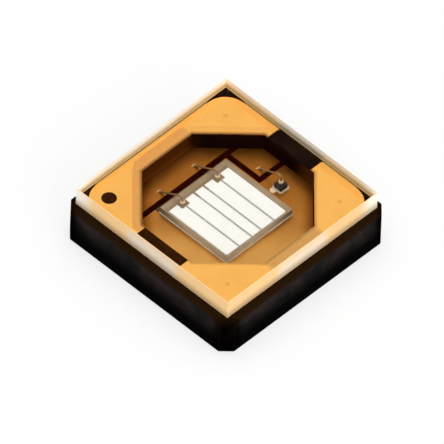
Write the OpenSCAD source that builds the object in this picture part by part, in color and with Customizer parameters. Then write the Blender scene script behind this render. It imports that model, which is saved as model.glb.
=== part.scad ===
// Ultraviolet LED in a square black ceramic package with a flat clear window.
// Millimetres. +Z is up, the solder pads lie on z = 0 and the origin is under the middle of the body.
// The marked corner of the package is at -X -Y, and the cathode side is the -X side.

/* [Ceramic body] */
// Side of the square body
body_side = 3.5; // [3.3:0.05:4.4]
// Leg of the chamfer on the four upright corner edges
corner_leg = 0.17; // [0.05:0.01:0.3]
// Thickness of the ceramic under the cavity
floor_t = 0.34; // [0.25:0.01:0.6]
// Height of the cavity walls above the ceramic floor
wall_h = 0.31; // [0.28:0.01:0.5]
// Thickness of the two walls across X
wall_x = 0.45; // [0.4:0.01:0.6]
// Thickness of the front wall, on the -Y side
wall_front = 0.47; // [0.4:0.01:0.6]
// Thickness of the rear wall, on the +Y side
wall_rear = 0.4; // [0.34:0.01:0.5]
// Leg of the slanted corners of the cavity
cavity_leg = 0.77; // [0.5:0.005:0.85]

/* [Metal on the rim] */
// Thickness of the gold film on the rim
rim_metal_t = 0.02; // [0.01:0.005:0.05]
// Bare ceramic between the body's side and the film
rim_metal_margin = 0.17; // [0.1:0.01:0.25]
// Radius of the film's outer corners
rim_metal_r = 0.36; // [0.1:0.01:0.5]
// Width of the bare split between the two halves of the film
rim_split = 0.92; // [0.6:0.01:1.2]
// Diameter of the round opening that marks the cathode corner
mark_d = 0.24; // [0.1:0.01:0.32]
// Distance of the mark's centre from the two nearest sides of the body
mark_in = 0.49; // [0.4:0.01:0.6]
// Diameter of the shallow dimples at the other three corners
dimple_d = 0.1; // [0.06:0.01:0.16]
// Depth of the dimples
dimple_depth = 0.006; // [0.003:0.001:0.008]
// Distance of a dimple's centre from the two nearest sides of the body
dimple_in = 0.54; // [0.42:0.01:0.62]

/* [Window] */
// Thickness of the glass plate
glass_t = 0.35; // [0.2:0.01:0.6]
// Ledge of ceramic left bare around the glass
glass_ledge = 0.135; // [0.06:0.005:0.2]
// Thickness of the clear seal between the film and the glass
seal_t = 0.01; // [0.005:0.001:0.03]

/* [Metal on the cavity floor] */
// Thickness of the gold film on the floor
floor_metal_t = 0.02; // [0.01:0.005:0.04]
// Bare ceramic between the film and the cavity walls
floor_metal_clear = 0.01; // [0.005:0.005:0.03]
// Width of the wire pad, measured from the cavity wall
wire_pad_w = 0.405; // [0.3:0.005:0.45]
// Width of the bare gaps between the pads
pad_gap = 0.1; // [0.06:0.01:0.14]
// Length along X of the small diode pad
diode_pad_x = 0.62; // [0.45:0.01:0.7]
// Die pad left bare between the chip and the notch for the diode pad
notch_clear = 0.09; // [0.05:0.005:0.25]

/* [LED chip] */
// Side of the square chip
chip_side = 1.42; // [1.1:0.01:1.5]
// Thickness of the chip's carrier
chip_t = 0.1; // [0.06:0.01:0.15]
// Thickness of the metal bond under the chip
chip_bond_t = 0.015; // [0.005:0.005:0.03]
// How far the bond shows around the chip
bond_flash = 0.015; // [0.005:0.005:0.03]
// Die pad left bare between its wire edge and the chip
chip_clear = 0.085; // [0.05:0.005:0.25]
// How far the chip sits from the middle of the cavity, towards the front
chip_shift = 0.035; // [0:0.005:0.1]
// Thickness of the light-emitting layer
light_t = 0.012; // [0.005:0.001:0.02]
// Carrier left bare beside the light-emitting layer, at the front and on the side away from the wires
light_margin = 0.03; // [0.02:0.005:0.08]
// Carrier left bare beside that layer, at the rear and on the wire side
light_wide = 0.105; // [0.06:0.005:0.15]
// Thickness of the top contact
contact_t = 0.01; // [0.004:0.001:0.02]
// Width of the contact's bar along the wire edge
contact_bar = 0.05; // [0.02:0.005:0.1]
// Width of a contact finger
finger_w = 0.026; // [0.01:0.002:0.05]
// Distance between the two inner contact fingers
finger_inner = 0.204; // [0.14:0.002:0.28]
// Distance between the two outer contact fingers, which carry the bonding pads
finger_outer = 0.754; // [0.64:0.002:0.9]
// Side of a square bonding pad on the chip
bond_pad = 0.16; // [0.12:0.01:0.2]

/* [Protection diode] */
// Side of the square diode chip
diode_side = 0.15; // [0.13:0.01:0.24]
// Thickness of the diode chip
diode_t = 0.09; // [0.05:0.01:0.12]
// Thickness of the bond under the diode
diode_bond_t = 0.01; // [0.005:0.005:0.02]
// How far the bond shows around the diode
diode_flash = 0.03; // [0.01:0.005:0.04]
// Side of the diode's top pad
diode_top = 0.11; // [0.1:0.01:0.13]
// Thickness of the diode's top pad
diode_top_t = 0.008; // [0.004:0.001:0.015]
// Bare die pad between the LED chip and the diode
diode_from_chip = 0.185; // [0.12:0.005:0.28]
// Bare die pad between the notch of the diode pad and the diode
diode_from_notch = 0.205; // [0.12:0.005:0.3]

/* [Bond wires] */
// Diameter of the gold wire
wire_d = 0.03; // [0.02:0.002:0.04]
// Diameter of the ball at the start of a wire
ball_d = 0.085; // [0.07:0.005:0.1]
// Height of the squashed ball
ball_h = 0.04; // [0.03:0.005:0.05]
// Diameter of the low dome that ends a wire
stitch_d = 0.1; // [0.08:0.005:0.12]
// Gold over the top of the wire at its stitch
stitch_cover = 0.003; // [0.001:0.001:0.006]
// Inside clearance between the top of a loop and the glass
loop_room = 0.05; // [0.03:0.005:0.08]
// Radius of the bends on the wire's middle line
loop_r = 0.045; // [0.03:0.005:0.05]
// Distance from a pad's edge to the centre of a stitch
stitch_in = 0.105; // [0.08:0.005:0.12]

/* [Solder pads and feed-throughs] */
// Thickness of the solder pads under the body
solder_t = 0.02; // [0.01:0.005:0.05]
// Bare ceramic around the solder pads
solder_margin = 0.15; // [0.1:0.01:0.3]
// Gap between the solder pads
solder_gap = 0.25; // [0.15:0.01:0.4]
// Solder pad beyond the middle of a post
solder_cover = 0.13; // [0.08:0.01:0.2]
// Leg of the cut corner that marks the cathode pad
solder_mark = 0.2; // [0.1:0.01:0.3]
// Diameter of the metal posts through the floor
post_d = 0.12; // [0.08:0.01:0.16]
// Distance between the two posts of one side
post_pitch = 0.76; // [0.5:0.01:0.9]
// Distance of the diode pad's post from the edge of that pad
diode_post_in = 0.2; // [0.12:0.01:0.3]
// Width of the buried link between the cathode posts
link_w = 0.1; // [0.06:0.01:0.12]
// Thickness of the buried link
link_t = 0.03; // [0.02:0.005:0.05]

/* [Hidden] */
$fn = 48;

// A cut goes this far past the face that it opens
over = 0.1;

// Half size of the body, and the walls of the cavity in it
half = body_side / 2;
cav_x = half - wall_x;
cav_front = wall_front - half;
cav_rear = half - wall_rear;
cav_middle = (cav_front + cav_rear) / 2;

// Side of the window and of the seal under it
window_side = body_side - 2 * glass_ledge;

// Heights of the layers, from the solder pads up
z_base = solder_t;
z_floor = z_base + floor_t;
z_pads = z_floor + floor_metal_t;
z_rim = z_floor + wall_h;
z_film = z_rim + rim_metal_t;
z_glass = z_film + seal_t;
z_chip = z_pads + chip_bond_t;
z_light = z_chip + chip_t;
z_contact = z_light + light_t;
z_ball = z_contact + contact_t;
z_diode = z_pads + diode_bond_t;
z_diode_top = z_diode + diode_t;
z_diode_ball = z_diode_top + diode_top_t;

// Edges of the floor pads along X, from the wire pad to the die pad
wire_pad_edge = -cav_x + wire_pad_w;
die_pad_edge = wire_pad_edge + pad_gap;
notch_edge = die_pad_edge + diode_pad_x + pad_gap;

// The LED chip stands on the die pad, a little in front of the cavity's middle
chip_left = die_pad_edge + chip_clear;
chip_place = [chip_left + chip_side / 2, cav_middle - chip_shift];
chip_rear = chip_place[1] + chip_side / 2;

// Edge of the notch in the die pad, and of the diode pad in it
notch_y = chip_rear + notch_clear;
diode_pad_y = notch_y + pad_gap;

// The light layer on the chip, and the bonding pads on that layer's wire edge
light_side = chip_side - light_margin - light_wide;
light_left = chip_left + light_wide;
light_place = [light_left + light_side / 2, chip_rear - light_wide - light_side / 2];
bond_x = light_left + bond_pad / 2;

// The protection diode stands between the chip and the cavity wall
diode_place = [
    notch_edge + diode_from_notch + diode_side / 2,
    chip_rear + diode_from_chip + diode_side / 2
];

// Ends of the wires
stitch_x = wire_pad_edge - stitch_in;
diode_stitch = [notch_edge - pad_gap - stitch_in, diode_pad_y + stitch_in];

// The posts stand under the middle of the wire pad, and opposite it under the die pad
post_x = cav_x - wire_pad_w / 2;
post_y = post_pitch / 2;
diode_post = [notch_edge - pad_gap - diode_post_in, (diode_pad_y + cav_rear) / 2];
z_link = z_base + (floor_t - link_t) / 2;

// Shapes shared by several pieces

// Rectangle of half sizes x and y with its corners cut at 45 degrees
module cut_corner_outline(x, y, leg) {
    polygon([
        [-x + leg, -y], [x - leg, -y], [x, -y + leg], [x, y - leg],
        [x - leg, y], [-x + leg, y], [-x, y - leg], [-x, -y + leg]
    ]);
}

// Square of half size s with round corners
module round_corner_outline(s, r) {
    square([2 * s, 2 * (s - r)], center = true);
    square([2 * (s - r), 2 * s], center = true);
    for (x = [-1, 1], y = [-1, 1]) {
        translate([x * (s - r), y * (s - r)]) circle(r = r);
    }
}

// Outline of the cavity, drawn in by a clearance on every side
module cavity_outline(clear = 0) {
    slant_in = clear * (2 - sqrt(2));
    cav_y = (cav_rear - cav_front) / 2;
    translate([0, cav_middle]) cut_corner_outline(cav_x - clear, cav_y - clear, cavity_leg - slant_in);
}

// Plate of one thickness, standing on the height z
module plate(z, t) {
    translate([0, 0, z]) linear_extrude(height = t) children();
}

// Square plate on a centre
module square_plate(centre, side, z, t) {
    translate([centre[0], centre[1], z]) plate(0, t) square(side, center = true);
}

// Metal post that ends under a floor pad
module post(place, z_from = z_base) {
    translate([place[0], place[1], z_from]) cylinder(d = post_d, h = z_floor - z_from);
}

// Ceramic body

// Upright metal of the cathode side: two posts through the floor, and a buried link
// from them to the post of the diode pad, which goes no deeper than the link
module cathode_post_shape() {
    post([-post_x, -post_y]);
    post([-post_x, post_y]);
    post(diode_post, z_link);
    plate(z_link, link_t) {
        translate([-post_x - link_w / 2, -post_y]) square([link_w, post_y + diode_post[1] + link_w / 2]);
        translate([-post_x, diode_post[1] - link_w / 2]) square([post_x + diode_post[0], link_w]);
    }
}

// Upright metal of the anode side: two separate posts
module anode_post_shape() {
    for (y = [-post_y, post_y]) post([post_x, y]);
}

module ceramic_body() {
    color([0.06, 0.055, 0.05]) difference() {
        plate(z_base, floor_t + wall_h) cut_corner_outline(half, half, corner_leg);
        plate(z_floor, wall_h + over) cavity_outline();
        cathode_post_shape();
        anode_post_shape();
    }
}

// Gold film on the rim, in two halves

// Sphere that presses one dimple into the film
module dimple(place) {
    ball_r = (dimple_d * dimple_d / 4 + dimple_depth * dimple_depth) / (2 * dimple_depth);
    translate([place[0], place[1], z_film - dimple_depth + ball_r]) sphere(r = ball_r);
}

// One half of the film: side is -1 for the cathode half and 1 for the anode half
module rim_half(side) {
    reach = half - rim_metal_margin;
    near = rim_split / 2;
    middle = side * (near + reach) / 2;
    plate(z_rim, rim_metal_t) difference() {
        intersection() {
            round_corner_outline(reach, rim_metal_r);
            translate([middle, 0]) square([reach - near, 2 * reach], center = true);
        }
        cavity_outline();
    }
}

// The cathode half: the mark goes right through it
module cathode_rim_shape() {
    difference() {
        rim_half(-1);
        translate([mark_in - half, mark_in - half, z_rim - over]) {
            cylinder(d = mark_d, h = rim_metal_t + 2 * over);
        }
        dimple([dimple_in - half, half - dimple_in]);
    }
}

module anode_rim_shape() {
    difference() {
        rim_half(1);
        for (y = [-1, 1]) dimple([half - dimple_in, y * (half - dimple_in)]);
    }
}

module cathode_rim_metal() {
    color([0.97, 0.70, 0.34]) cathode_rim_shape();
}

module anode_rim_metal() {
    color([0.97, 0.70, 0.34]) anode_rim_shape();
}

// Window

// Clear seal: it covers the film and fills the split, the mark and the dimples
module window_seal() {
    color([0.93, 0.92, 0.86, 0.4]) difference() {
        plate(z_rim, rim_metal_t + seal_t) difference() {
            square(window_side, center = true);
            cavity_outline();
        }
        cathode_rim_shape();
        anode_rim_shape();
    }
}

module glass_window() {
    color([0.95, 0.96, 0.94, 0.35]) plate(z_glass, glass_t) square(window_side, center = true);
}

// Gold film on the cavity floor

// Part of the floor between two corners, kept inside the cavity
module floor_area(low, high) {
    intersection() {
        cavity_outline(floor_metal_clear);
        translate(low) square(high - low);
    }
}

module wire_pad() {
    color([0.62, 0.40, 0.17]) plate(z_floor, floor_metal_t) {
        floor_area([-cav_x, cav_front], [wire_pad_edge, cav_rear]);
    }
}

module die_pad() {
    color([0.76, 0.52, 0.24]) plate(z_floor, floor_metal_t) difference() {
        floor_area([die_pad_edge, cav_front], [cav_x, cav_rear]);
        translate([die_pad_edge - over, notch_y]) square([notch_edge - die_pad_edge + over, cav_rear]);
    }
}

module diode_pad() {
    color([0.70, 0.45, 0.20]) plate(z_floor, floor_metal_t) {
        floor_area([die_pad_edge, diode_pad_y], [die_pad_edge + diode_pad_x, cav_rear]);
    }
}

// LED chip

module chip_bond() {
    color([0.55, 0.52, 0.47]) square_plate(chip_place, chip_side + 2 * bond_flash, z_pads, chip_bond_t);
}

module led_chip() {
    color([0.48, 0.46, 0.42]) square_plate(chip_place, chip_side, z_chip, chip_t);
}

module light_layer() {
    color([0.98, 0.98, 0.97]) square_plate(light_place, light_side, z_light, light_t);
}

// Top contact: a bar along the wire edge, the fingers that leave it and the two bonding pads
module chip_contact() {
    color([0.66, 0.66, 0.64]) plate(z_contact, contact_t) translate([light_left, light_place[1]]) {
        translate([0, -light_side / 2]) square([contact_bar, light_side]);
        for (apart = [finger_inner, finger_outer], side = [-1, 1]) {
            translate([0, side * apart / 2 - finger_w / 2]) square([light_side, finger_w]);
        }
        for (side = [-1, 1]) {
            translate([bond_pad / 2, side * finger_outer / 2]) square(bond_pad, center = true);
        }
    }
}

// Bond wires

// Ball squashed between two flats
module squashed_ball(z) {
    translate([0, 0, z]) intersection() {
        translate([0, 0, ball_h / 2]) sphere(d = ball_d);
        translate([0, 0, ball_h / 2]) cube([2 * ball_d, 2 * ball_d, ball_h], center = true);
    }
}

// Low dome that a wire ends in: a slice off a sphere, a little higher than the wire is thick
module stitch_dome(z) {
    rise = wire_d + stitch_cover;
    dome_r = (stitch_d * stitch_d / 4 + rise * rise) / (2 * rise);
    translate([0, 0, z]) intersection() {
        translate([0, 0, rise - dome_r]) sphere(r = dome_r);
        translate([0, 0, rise / 2]) cube([2 * stitch_d, 2 * stitch_d, rise], center = true);
    }
}

// Bend of the wire's middle line in the XY plane, from one angle on
module wire_bend(centre, from, sweep) {
    translate(centre) rotate(from) rotate_extrude(angle = sweep) translate([loop_r, 0]) circle(d = wire_d);
}

// Straight stretch of the wire in the XY plane
module wire_run(from, to) {
    way = to - from;
    translate(from) rotate(atan2(way[1], way[0])) rotate([0, 90, 0]) cylinder(d = wire_d, h = norm(way));
}

// Middle line of one wire, in a plane where x is the way along and y is the height.
// It rises from the ball, bends over, comes down on the straight line that touches both bends,
// and levels out at the stitch.
module wire_loop(span, z_from, z_to, z_top) {
    bend_a = [loop_r, z_top - wire_d / 2 - loop_r];
    bend_b = [span, z_to + wire_d / 2 + loop_r];
    gap = bend_b - bend_a;
    fall = asin(2 * loop_r / norm(gap)) - atan2(gap[1], gap[0]);
    outward = [sin(fall), cos(fall)] * loop_r;
    wire_run([0, z_from + ball_h / 2], [0, bend_a[1]]);
    wire_bend(bend_a, 90 - fall, 90 + fall);
    wire_run(bend_a + outward, bend_b - outward);
    wire_bend(bend_b, 270 - fall, fall);
}

// Whole wire from a ball on one place to a stitch on another, as one piece
module bond_wire(from, to, z_from, z_to) {
    way = to - from;
    translate([from[0], from[1], 0]) rotate(atan2(way[1], way[0])) {
        squashed_ball(z_from);
        rotate([90, 0, 0]) wire_loop(norm(way), z_from, z_to, z_glass - loop_room);
        translate([norm(way), 0, 0]) stitch_dome(z_to);
    }
}

// Wire from the chip straight out to the wire pad, on the side of one outer finger
module chip_wire(side) {
    y = light_place[1] + side * finger_outer / 2;
    color([0.93, 0.72, 0.35]) bond_wire([bond_x, y], [stitch_x, y], z_ball, z_pads);
}

module front_bond_wire() {
    chip_wire(-1);
}

module rear_bond_wire() {
    chip_wire(1);
}

// Protection diode

module diode_bond() {
    color([0.80, 0.78, 0.72]) square_plate(diode_place, diode_side + 2 * diode_flash, z_pads, diode_bond_t);
}

module protection_diode() {
    color([0.12, 0.10, 0.09]) square_plate(diode_place, diode_side, z_diode, diode_t);
}

module diode_top_pad() {
    color([0.85, 0.72, 0.45]) square_plate(diode_place, diode_top, z_diode_top, diode_top_t);
}

module diode_wire() {
    color([0.93, 0.72, 0.35]) bond_wire(diode_place, diode_stitch, z_diode_ball, z_pads);
}

// Solder pads and feed-throughs

// Strip along one side of the body: its inner edge lies beyond the middle of the posts
module solder_strip(side) {
    reach = half - solder_margin;
    inner = post_x - solder_cover;
    translate([side * (reach + inner) / 2, 0]) square([reach - inner, 2 * reach], center = true);
}

module cathode_solder_pad() {
    reach = half - solder_margin;
    color([0.90, 0.68, 0.34]) plate(0, solder_t) difference() {
        solder_strip(-1);
        polygon([
            [-reach - over, -reach - over], [-reach + solder_mark + over, -reach - over],
            [-reach - over, -reach + solder_mark + over]
        ]);
    }
}

module thermal_solder_pad() {
    wide = 2 * (post_x - solder_cover - solder_gap);
    long = body_side - 2 * solder_margin;
    color([0.90, 0.68, 0.34]) plate(0, solder_t) square([wide, long], center = true);
}

module anode_solder_pad() {
    color([0.90, 0.68, 0.34]) plate(0, solder_t) solder_strip(1);
}

module cathode_posts() {
    color([0.45, 0.42, 0.40]) cathode_post_shape();
}

module anode_posts() {
    color([0.45, 0.42, 0.40]) anode_post_shape();
}

ceramic_body();
cathode_rim_metal();
anode_rim_metal();
wire_pad();
die_pad();
diode_pad();
chip_bond();
led_chip();
light_layer();
chip_contact();
front_bond_wire();
rear_bond_wire();
diode_bond();
protection_diode();
diode_top_pad();
diode_wire();
cathode_solder_pad();
thermal_solder_pad();
anode_solder_pad();
cathode_posts();
anode_posts();
window_seal();
glass_window();
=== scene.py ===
"""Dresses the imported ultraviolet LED: fired body, plated gold, ground window, chips and wires, in a studio.

All sizes in the classes are millimetres in the part's own frame: +Z up through the window, +X from the
cathode side to the anode side. Meshes are turned to metres where they are put into Blender.
"""

import logging
import math
from dataclasses import dataclass, field
from enum import Enum
from functools import cache, reduce
from typing import ClassVar

import bpy
import numpy as np
from mathutils import Matrix, Vector


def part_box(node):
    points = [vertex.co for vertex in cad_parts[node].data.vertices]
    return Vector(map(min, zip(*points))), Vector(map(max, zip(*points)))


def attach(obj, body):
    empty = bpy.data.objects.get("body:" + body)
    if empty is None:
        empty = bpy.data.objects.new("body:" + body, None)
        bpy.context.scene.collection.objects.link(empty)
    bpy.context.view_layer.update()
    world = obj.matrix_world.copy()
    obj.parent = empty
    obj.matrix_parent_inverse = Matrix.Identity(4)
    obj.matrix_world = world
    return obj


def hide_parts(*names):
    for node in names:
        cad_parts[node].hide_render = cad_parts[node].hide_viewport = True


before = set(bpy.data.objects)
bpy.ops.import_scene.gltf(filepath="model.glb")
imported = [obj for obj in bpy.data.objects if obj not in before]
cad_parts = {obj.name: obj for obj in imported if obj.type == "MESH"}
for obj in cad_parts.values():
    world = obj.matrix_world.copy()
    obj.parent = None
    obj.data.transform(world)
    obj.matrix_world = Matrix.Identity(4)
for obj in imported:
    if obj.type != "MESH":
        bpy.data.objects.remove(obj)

Array = np.ndarray
Pair = tuple[float, float]
Colour = tuple[float, float, float]
Faces = list[tuple[int, ...]]
Patch = tuple[Array, Faces]
Socket = bpy.types.NodeSocket
Value = Socket | float | Colour

LOG = logging.getLogger("ultraviolet_led")
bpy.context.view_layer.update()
BODY = "root"
EDGE_NAME = "edge"
MILLIMETRE = 0.001
WHITE = (1.0, 1.0, 1.0)
GLASS_INDEX = 1.46
# Places that both a mesh and a finish need: a dimple along x and y, half the gap between the rim's halves
DIMPLE_AT = 1.21
SPLIT = 0.46
# Corners of a square by their signs, and the steps in the rounding of one corner of an eight-sided outline
SQUARE = np.array([(1, -1), (1, 1), (-1, 1), (-1, -1)])
CORNER_STEPS = 3
# What the leg of a corner's cut loses when all edges of an outline move in by 1
DIAGONAL_INSET = 2.0 - math.sqrt(2.0)


class Slot(str, Enum):
    """The record's material slots."""

    CERAMIC = "black_ceramic"
    RIM_GOLD = "rim_gold"
    GLASS = "window_glass"
    SEAL = "clear_seal"
    CARRIER = "chip_carrier"
    EMITTER = "emitter"
    SILICON = "diode_silicon"
    BOND = "bond_metal"
    WIRE = "wire_gold"


class Shading(Enum):
    """How the faces of a piece meet: the steepest turn, in degrees, that is shaded as smooth."""

    FLAT = 0.0
    CREASED = 35.0
    ROUND = 75.0


# Surfaces


def as_faces(numbers: Array) -> Faces:
    """Turns rows of vertex numbers into faces."""
    return [tuple(row) for row in numbers.tolist()]


def turned_over(faces: Faces) -> Faces:
    """Gives the same faces as seen from the other side."""
    return [tuple(reversed(face)) for face in faces]


def unit(vectors: Array) -> Array:
    """Gives each vector with a length of 1."""
    return vectors / np.linalg.norm(vectors, axis=-1, keepdims=True)


def arc(middle: Pair | Array, radius: float, angles: Array) -> Array:
    """Gives the points middle + radius (cos a, sin a) on a circle."""
    return np.asarray(middle) + radius * np.stack([np.cos(angles), np.sin(angles)], axis=1)


def raised(outlines: Array, heights: Array) -> Array:
    """Gives the points (point j of outline i, height i), outline after outline."""
    tall = np.broadcast_to(np.asarray(heights, float)[:, None, None], (*outlines.shape[:2], 1))
    return np.concatenate([outlines, tall], axis=2).reshape(-1, 3)


@dataclass(frozen=True)
class NodeBox:
    """The box round a CAD node.

    Attributes:
        low: its lowest corner.
        high: its highest corner.
    """

    low: Array
    high: Array

    @classmethod
    def of(cls, node: str) -> "NodeBox":
        """Reads a node's box in millimetres."""
        return cls(*(np.array(corner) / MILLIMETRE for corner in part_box(node)))

    @property
    def half(self) -> Array:
        """Gives its half width along x and y."""
        return (self.high[:2] - self.low[:2]) / 2

    @property
    def middle(self) -> Array:
        """Gives its middle along x and y."""
        return (self.high[:2] + self.low[:2]) / 2

    @property
    def foot(self) -> float:
        """Gives the height of its underside."""
        return float(self.low[2])

    @property
    def top(self) -> float:
        """Gives the height of its top."""
        return float(self.high[2])


@dataclass
class Surface:
    """A mesh in the making.

    Attributes:
        points: one row of x, y, z per vertex, in millimetres.
        faces: vertex numbers of each face, counter-clockwise from outside.
        edge: for each vertex 1 on a worn edge and 0 inside a face; on a wire, 1 on the ball and the stitch, 0
            along the loop, which gets a painted dark reflection.
        finish: for each face the number of its material.
    """

    points: Array
    faces: Faces
    edge: Array | None = None
    finish: Array | None = None

    def thickened(self, thickness: float) -> "Surface":
        """Turns a level sheet into a closed plate.

        The lower face repeats the sheet a thickness further down, turned over, and a wall joins the two along
        every edge that only one face has.

        Args:
            thickness: how far the lower face lies under the sheet.

        Returns:
            The closed plate.
        """
        count = len(self.points)
        low = self.points.copy()
        low[:, 2] = self.points[:, 2].max() - thickness
        sides = np.array([(a, b) for f in self.faces for a, b in zip(f, f[1:] + f[:1])])
        _, first, times = np.unique(np.sort(sides, axis=1), axis=0, return_index=True, return_counts=True)
        start, end = sides[first[times == 1]].T
        walls = as_faces(np.stack([end, start, start + count, end + count], axis=1))
        under = [tuple(i + count for i in face) for face in turned_over(self.faces)]
        return Surface(np.concatenate([self.points, low]), self.faces + under + walls)

    def put(self, name: str, node: str, slot: Slot, shading: Shading, *finishes: "Finish") -> None:
        """Makes the Blender object, at the origin, in metres and riding on the part's body.

        Args:
            name: the piece's name.
            node: the CAD node that it stands for.
            slot: the slot that its finish comes from; not used.
            shading: how its faces meet.
            finishes: its finishes, by number.
        """
        if not np.isfinite(self.points).all():
            raise ValueError(f"piece {name} has a point without a place")
        mesh = bpy.data.meshes.new(name)
        mesh.from_pydata((self.points * MILLIMETRE).tolist(), [], self.faces)
        for finish in finishes:
            mesh.materials.append(finish.material())
        if self.finish is not None:
            mesh.polygons.foreach_set("material_index", self.finish.astype(np.int32))
        worn = np.zeros(len(self.points)) if self.edge is None else self.edge
        mesh.attributes.new(EDGE_NAME, "FLOAT", "POINT").data.foreach_set("value", worn.astype(np.float32))
        smooth = shading is not Shading.FLAT
        mesh.polygons.foreach_set("use_smooth", np.full(len(mesh.polygons), smooth))
        if smooth:
            mesh.set_sharp_from_angle(angle=math.radians(shading.value))
        mesh.validate()
        mesh.update()
        piece = bpy.data.objects.new(name, mesh)
        bpy.context.scene.collection.objects.link(piece)
        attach(piece, BODY)
        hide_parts(node)
        LOG.info("piece %s: %d vertices, %d faces", name, len(mesh.vertices), len(mesh.polygons))


def grid_faces(rows: int, across: int, looped: bool = True, ringed: bool = False) -> Faces:
    """Lists the four-sided faces of a grid.

    Face (i, j) joins points j and j + 1 of row i to the same points of row i + 1.

    Args:
        rows: number of rows.
        across: points in each row.
        looped: whether the last point of a row joins the first.
        ringed: whether the last row joins the first.

    Returns:
        The faces.
    """
    i, j = np.meshgrid(np.arange(rows - (not ringed)), np.arange(across - (not looped)), indexing="ij")
    row, above, k = i * across, (i + 1) % rows * across, (j + 1) % across
    return as_faces(np.stack([row + j, row + k, above + k, above + j], axis=-1).reshape(-1, 4))


def stacked(outlines: Array, heights: Array, ends: bool = True) -> Surface:
    """Carries an outline up through a row of levels.

    Point j of level i is (outline i's point j, height i). With ends the first and last level are closed by
    one flat face each, and without them the last level joins the first, which makes a ring.

    Args:
        outlines: levels x points x 2, each counter-clockwise from above.
        heights: one height per level.
        ends: whether the stack has flat ends.

    Returns:
        The closed surface.
    """
    rows, across = outlines.shape[:2]
    faces = grid_faces(rows, across, ringed=not ends)
    if ends:
        faces.append(tuple(range(across - 1, -1, -1)))
        faces.append(tuple(range((rows - 1) * across, rows * across)))
    return Surface(raised(outlines, heights), faces)


def swept(path: Array, side: Array, lift: Array, aside: Array, around: int = 20) -> Surface:
    """Carries an ellipse along a path that lies in one upright plane.

    Point j of ring i is path i + side i cos(a) aside + lift i sin(a) up, where a goes once round with j,
    aside is square to the plane and up is square to aside and to the path's own direction.

    Args:
        path: rings x 3, the middles of the ellipses.
        side: half width of each ellipse.
        lift: half height of each ellipse.
        aside: unit vector square to the plane.
        around: points in a ring.

    Returns:
        The closed surface, with a flat face at each end.
    """
    up = np.cross(unit(np.gradient(path, axis=0)), aside)
    turn = np.linspace(0.0, 2.0 * np.pi, around, endpoint=False)[None, :, None]
    ring = np.cos(turn) * side[:, None, None] * aside + np.sin(turn) * lift[:, None, None] * up[:, None, :]
    rows = len(path)
    faces = turned_over(grid_faces(rows, around))
    faces.append(tuple(range(around)))
    faces.append(tuple(range(rows * around - 1, (rows - 1) * around - 1, -1)))
    return Surface((path[:, None, :] + ring).reshape(-1, 3), faces)


def joined(patches: list[Patch]) -> Surface:
    """Puts patches of one sheet together and makes one vertex of those that fall on the same place.

    Args:
        patches: points and faces of each patch.

    Returns:
        The sheet.
    """
    starts = np.cumsum([0] + [len(p) for p, _ in patches[:-1]])
    points = np.concatenate([p for p, _ in patches])
    _, first, same = np.unique(np.round(points, 6), axis=0, return_index=True, return_inverse=True)
    same = same.reshape(-1)
    faces = [tuple(int(same[i + s]) for i in f) for (_, fs), s in zip(patches, starts) for f in fs]
    return Surface(points[first], faces)


def eight_sided(
    half: Pair | Array, leg: float, inset: float, soft: float = 0.012, band: float = 0.03
) -> Array:
    """Gives the outline of a rectangle with cut corners, whose eight edges all lie an inset further in.

    Each of its eight corner points V becomes a curve (1-t)^2 A + 2t(1-t) V + t^2 B, where A and B lie a
    length soft before and after V on its two edges. One more point lies band further along each edge,
    where wear ends.

    Args:
        half: half width along x and y before the inset.
        leg: how much each corner cut takes from both edges before the inset.
        inset: how far each edge moves in, or out if negative.
        soft: how far from a corner its rounding starts.
        band: width of the worn strip beside the rounding.

    Returns:
        The points, counter-clockwise.
    """
    hx, hy = half[0] - inset, half[1] - inset
    cut = leg - DIAGONAL_INSET * inset
    ix, iy = hx - cut, hy - cut
    corner = np.array(
        [(hx, -iy), (hx, iy), (ix, hy), (-ix, hy), (-hx, iy), (-hx, -iy), (-ix, -hy), (ix, -hy)]
    )
    back, ahead = (unit(np.roll(corner, step, axis=0) - corner) for step in (1, -1))
    start, end = corner + back * soft, corner + ahead * soft
    t = np.linspace(0.0, 1.0, CORNER_STEPS + 1)[None, :, None]
    curve = (1 - t) ** 2 * start[:, None] + 2 * t * (1 - t) * corner[:, None] + t**2 * end[:, None]
    row = np.concatenate([(start + back * band)[:, None], curve, (end + ahead * band)[:, None]], axis=1)
    return row.reshape(-1, 2)


def quarter(radius: float, steps: int = 4) -> tuple[Array, Array]:
    """Gives a quarter round: insets radius (1 - sin a) and drops radius (1 - cos a), a from 90 to 0 degrees.

    Args:
        radius: its radius.
        steps: number of steps.

    Returns:
        The insets, from 0 up to the radius, and the drops below the top, from the radius down to 0.
    """
    a = np.linspace(np.pi / 2, 0.0, steps + 1)
    return radius * (1 - np.sin(a)), radius * (1 - np.cos(a))


@dataclass(frozen=True)
class Cavity:
    """The eight-sided opening of the body.

    Attributes:
        half: half width along x and y.
        leg: cut of its corners.
        middle: how far its middle lies behind the body's, along y.
        floor: height of its floor.
    """

    half: Pair = (1.30, 1.315)
    leg: float = 0.77
    middle: float = 0.035
    floor: float = 0.36

    @property
    def reach(self) -> float:
        """Gives the sum of x and y on the slanted edges, from the cavity's middle."""
        return self.half[0] + self.half[1] - self.leg

    def outline(self, inset: float, **shape: float) -> Array:
        """Gives the opening's outline, drawn in by an inset, with the other values of eight_sided."""
        return eight_sided(self.half, self.leg, inset, **shape) + (0.0, self.middle)


CAVITY = Cavity()


# Shading nodes


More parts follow.
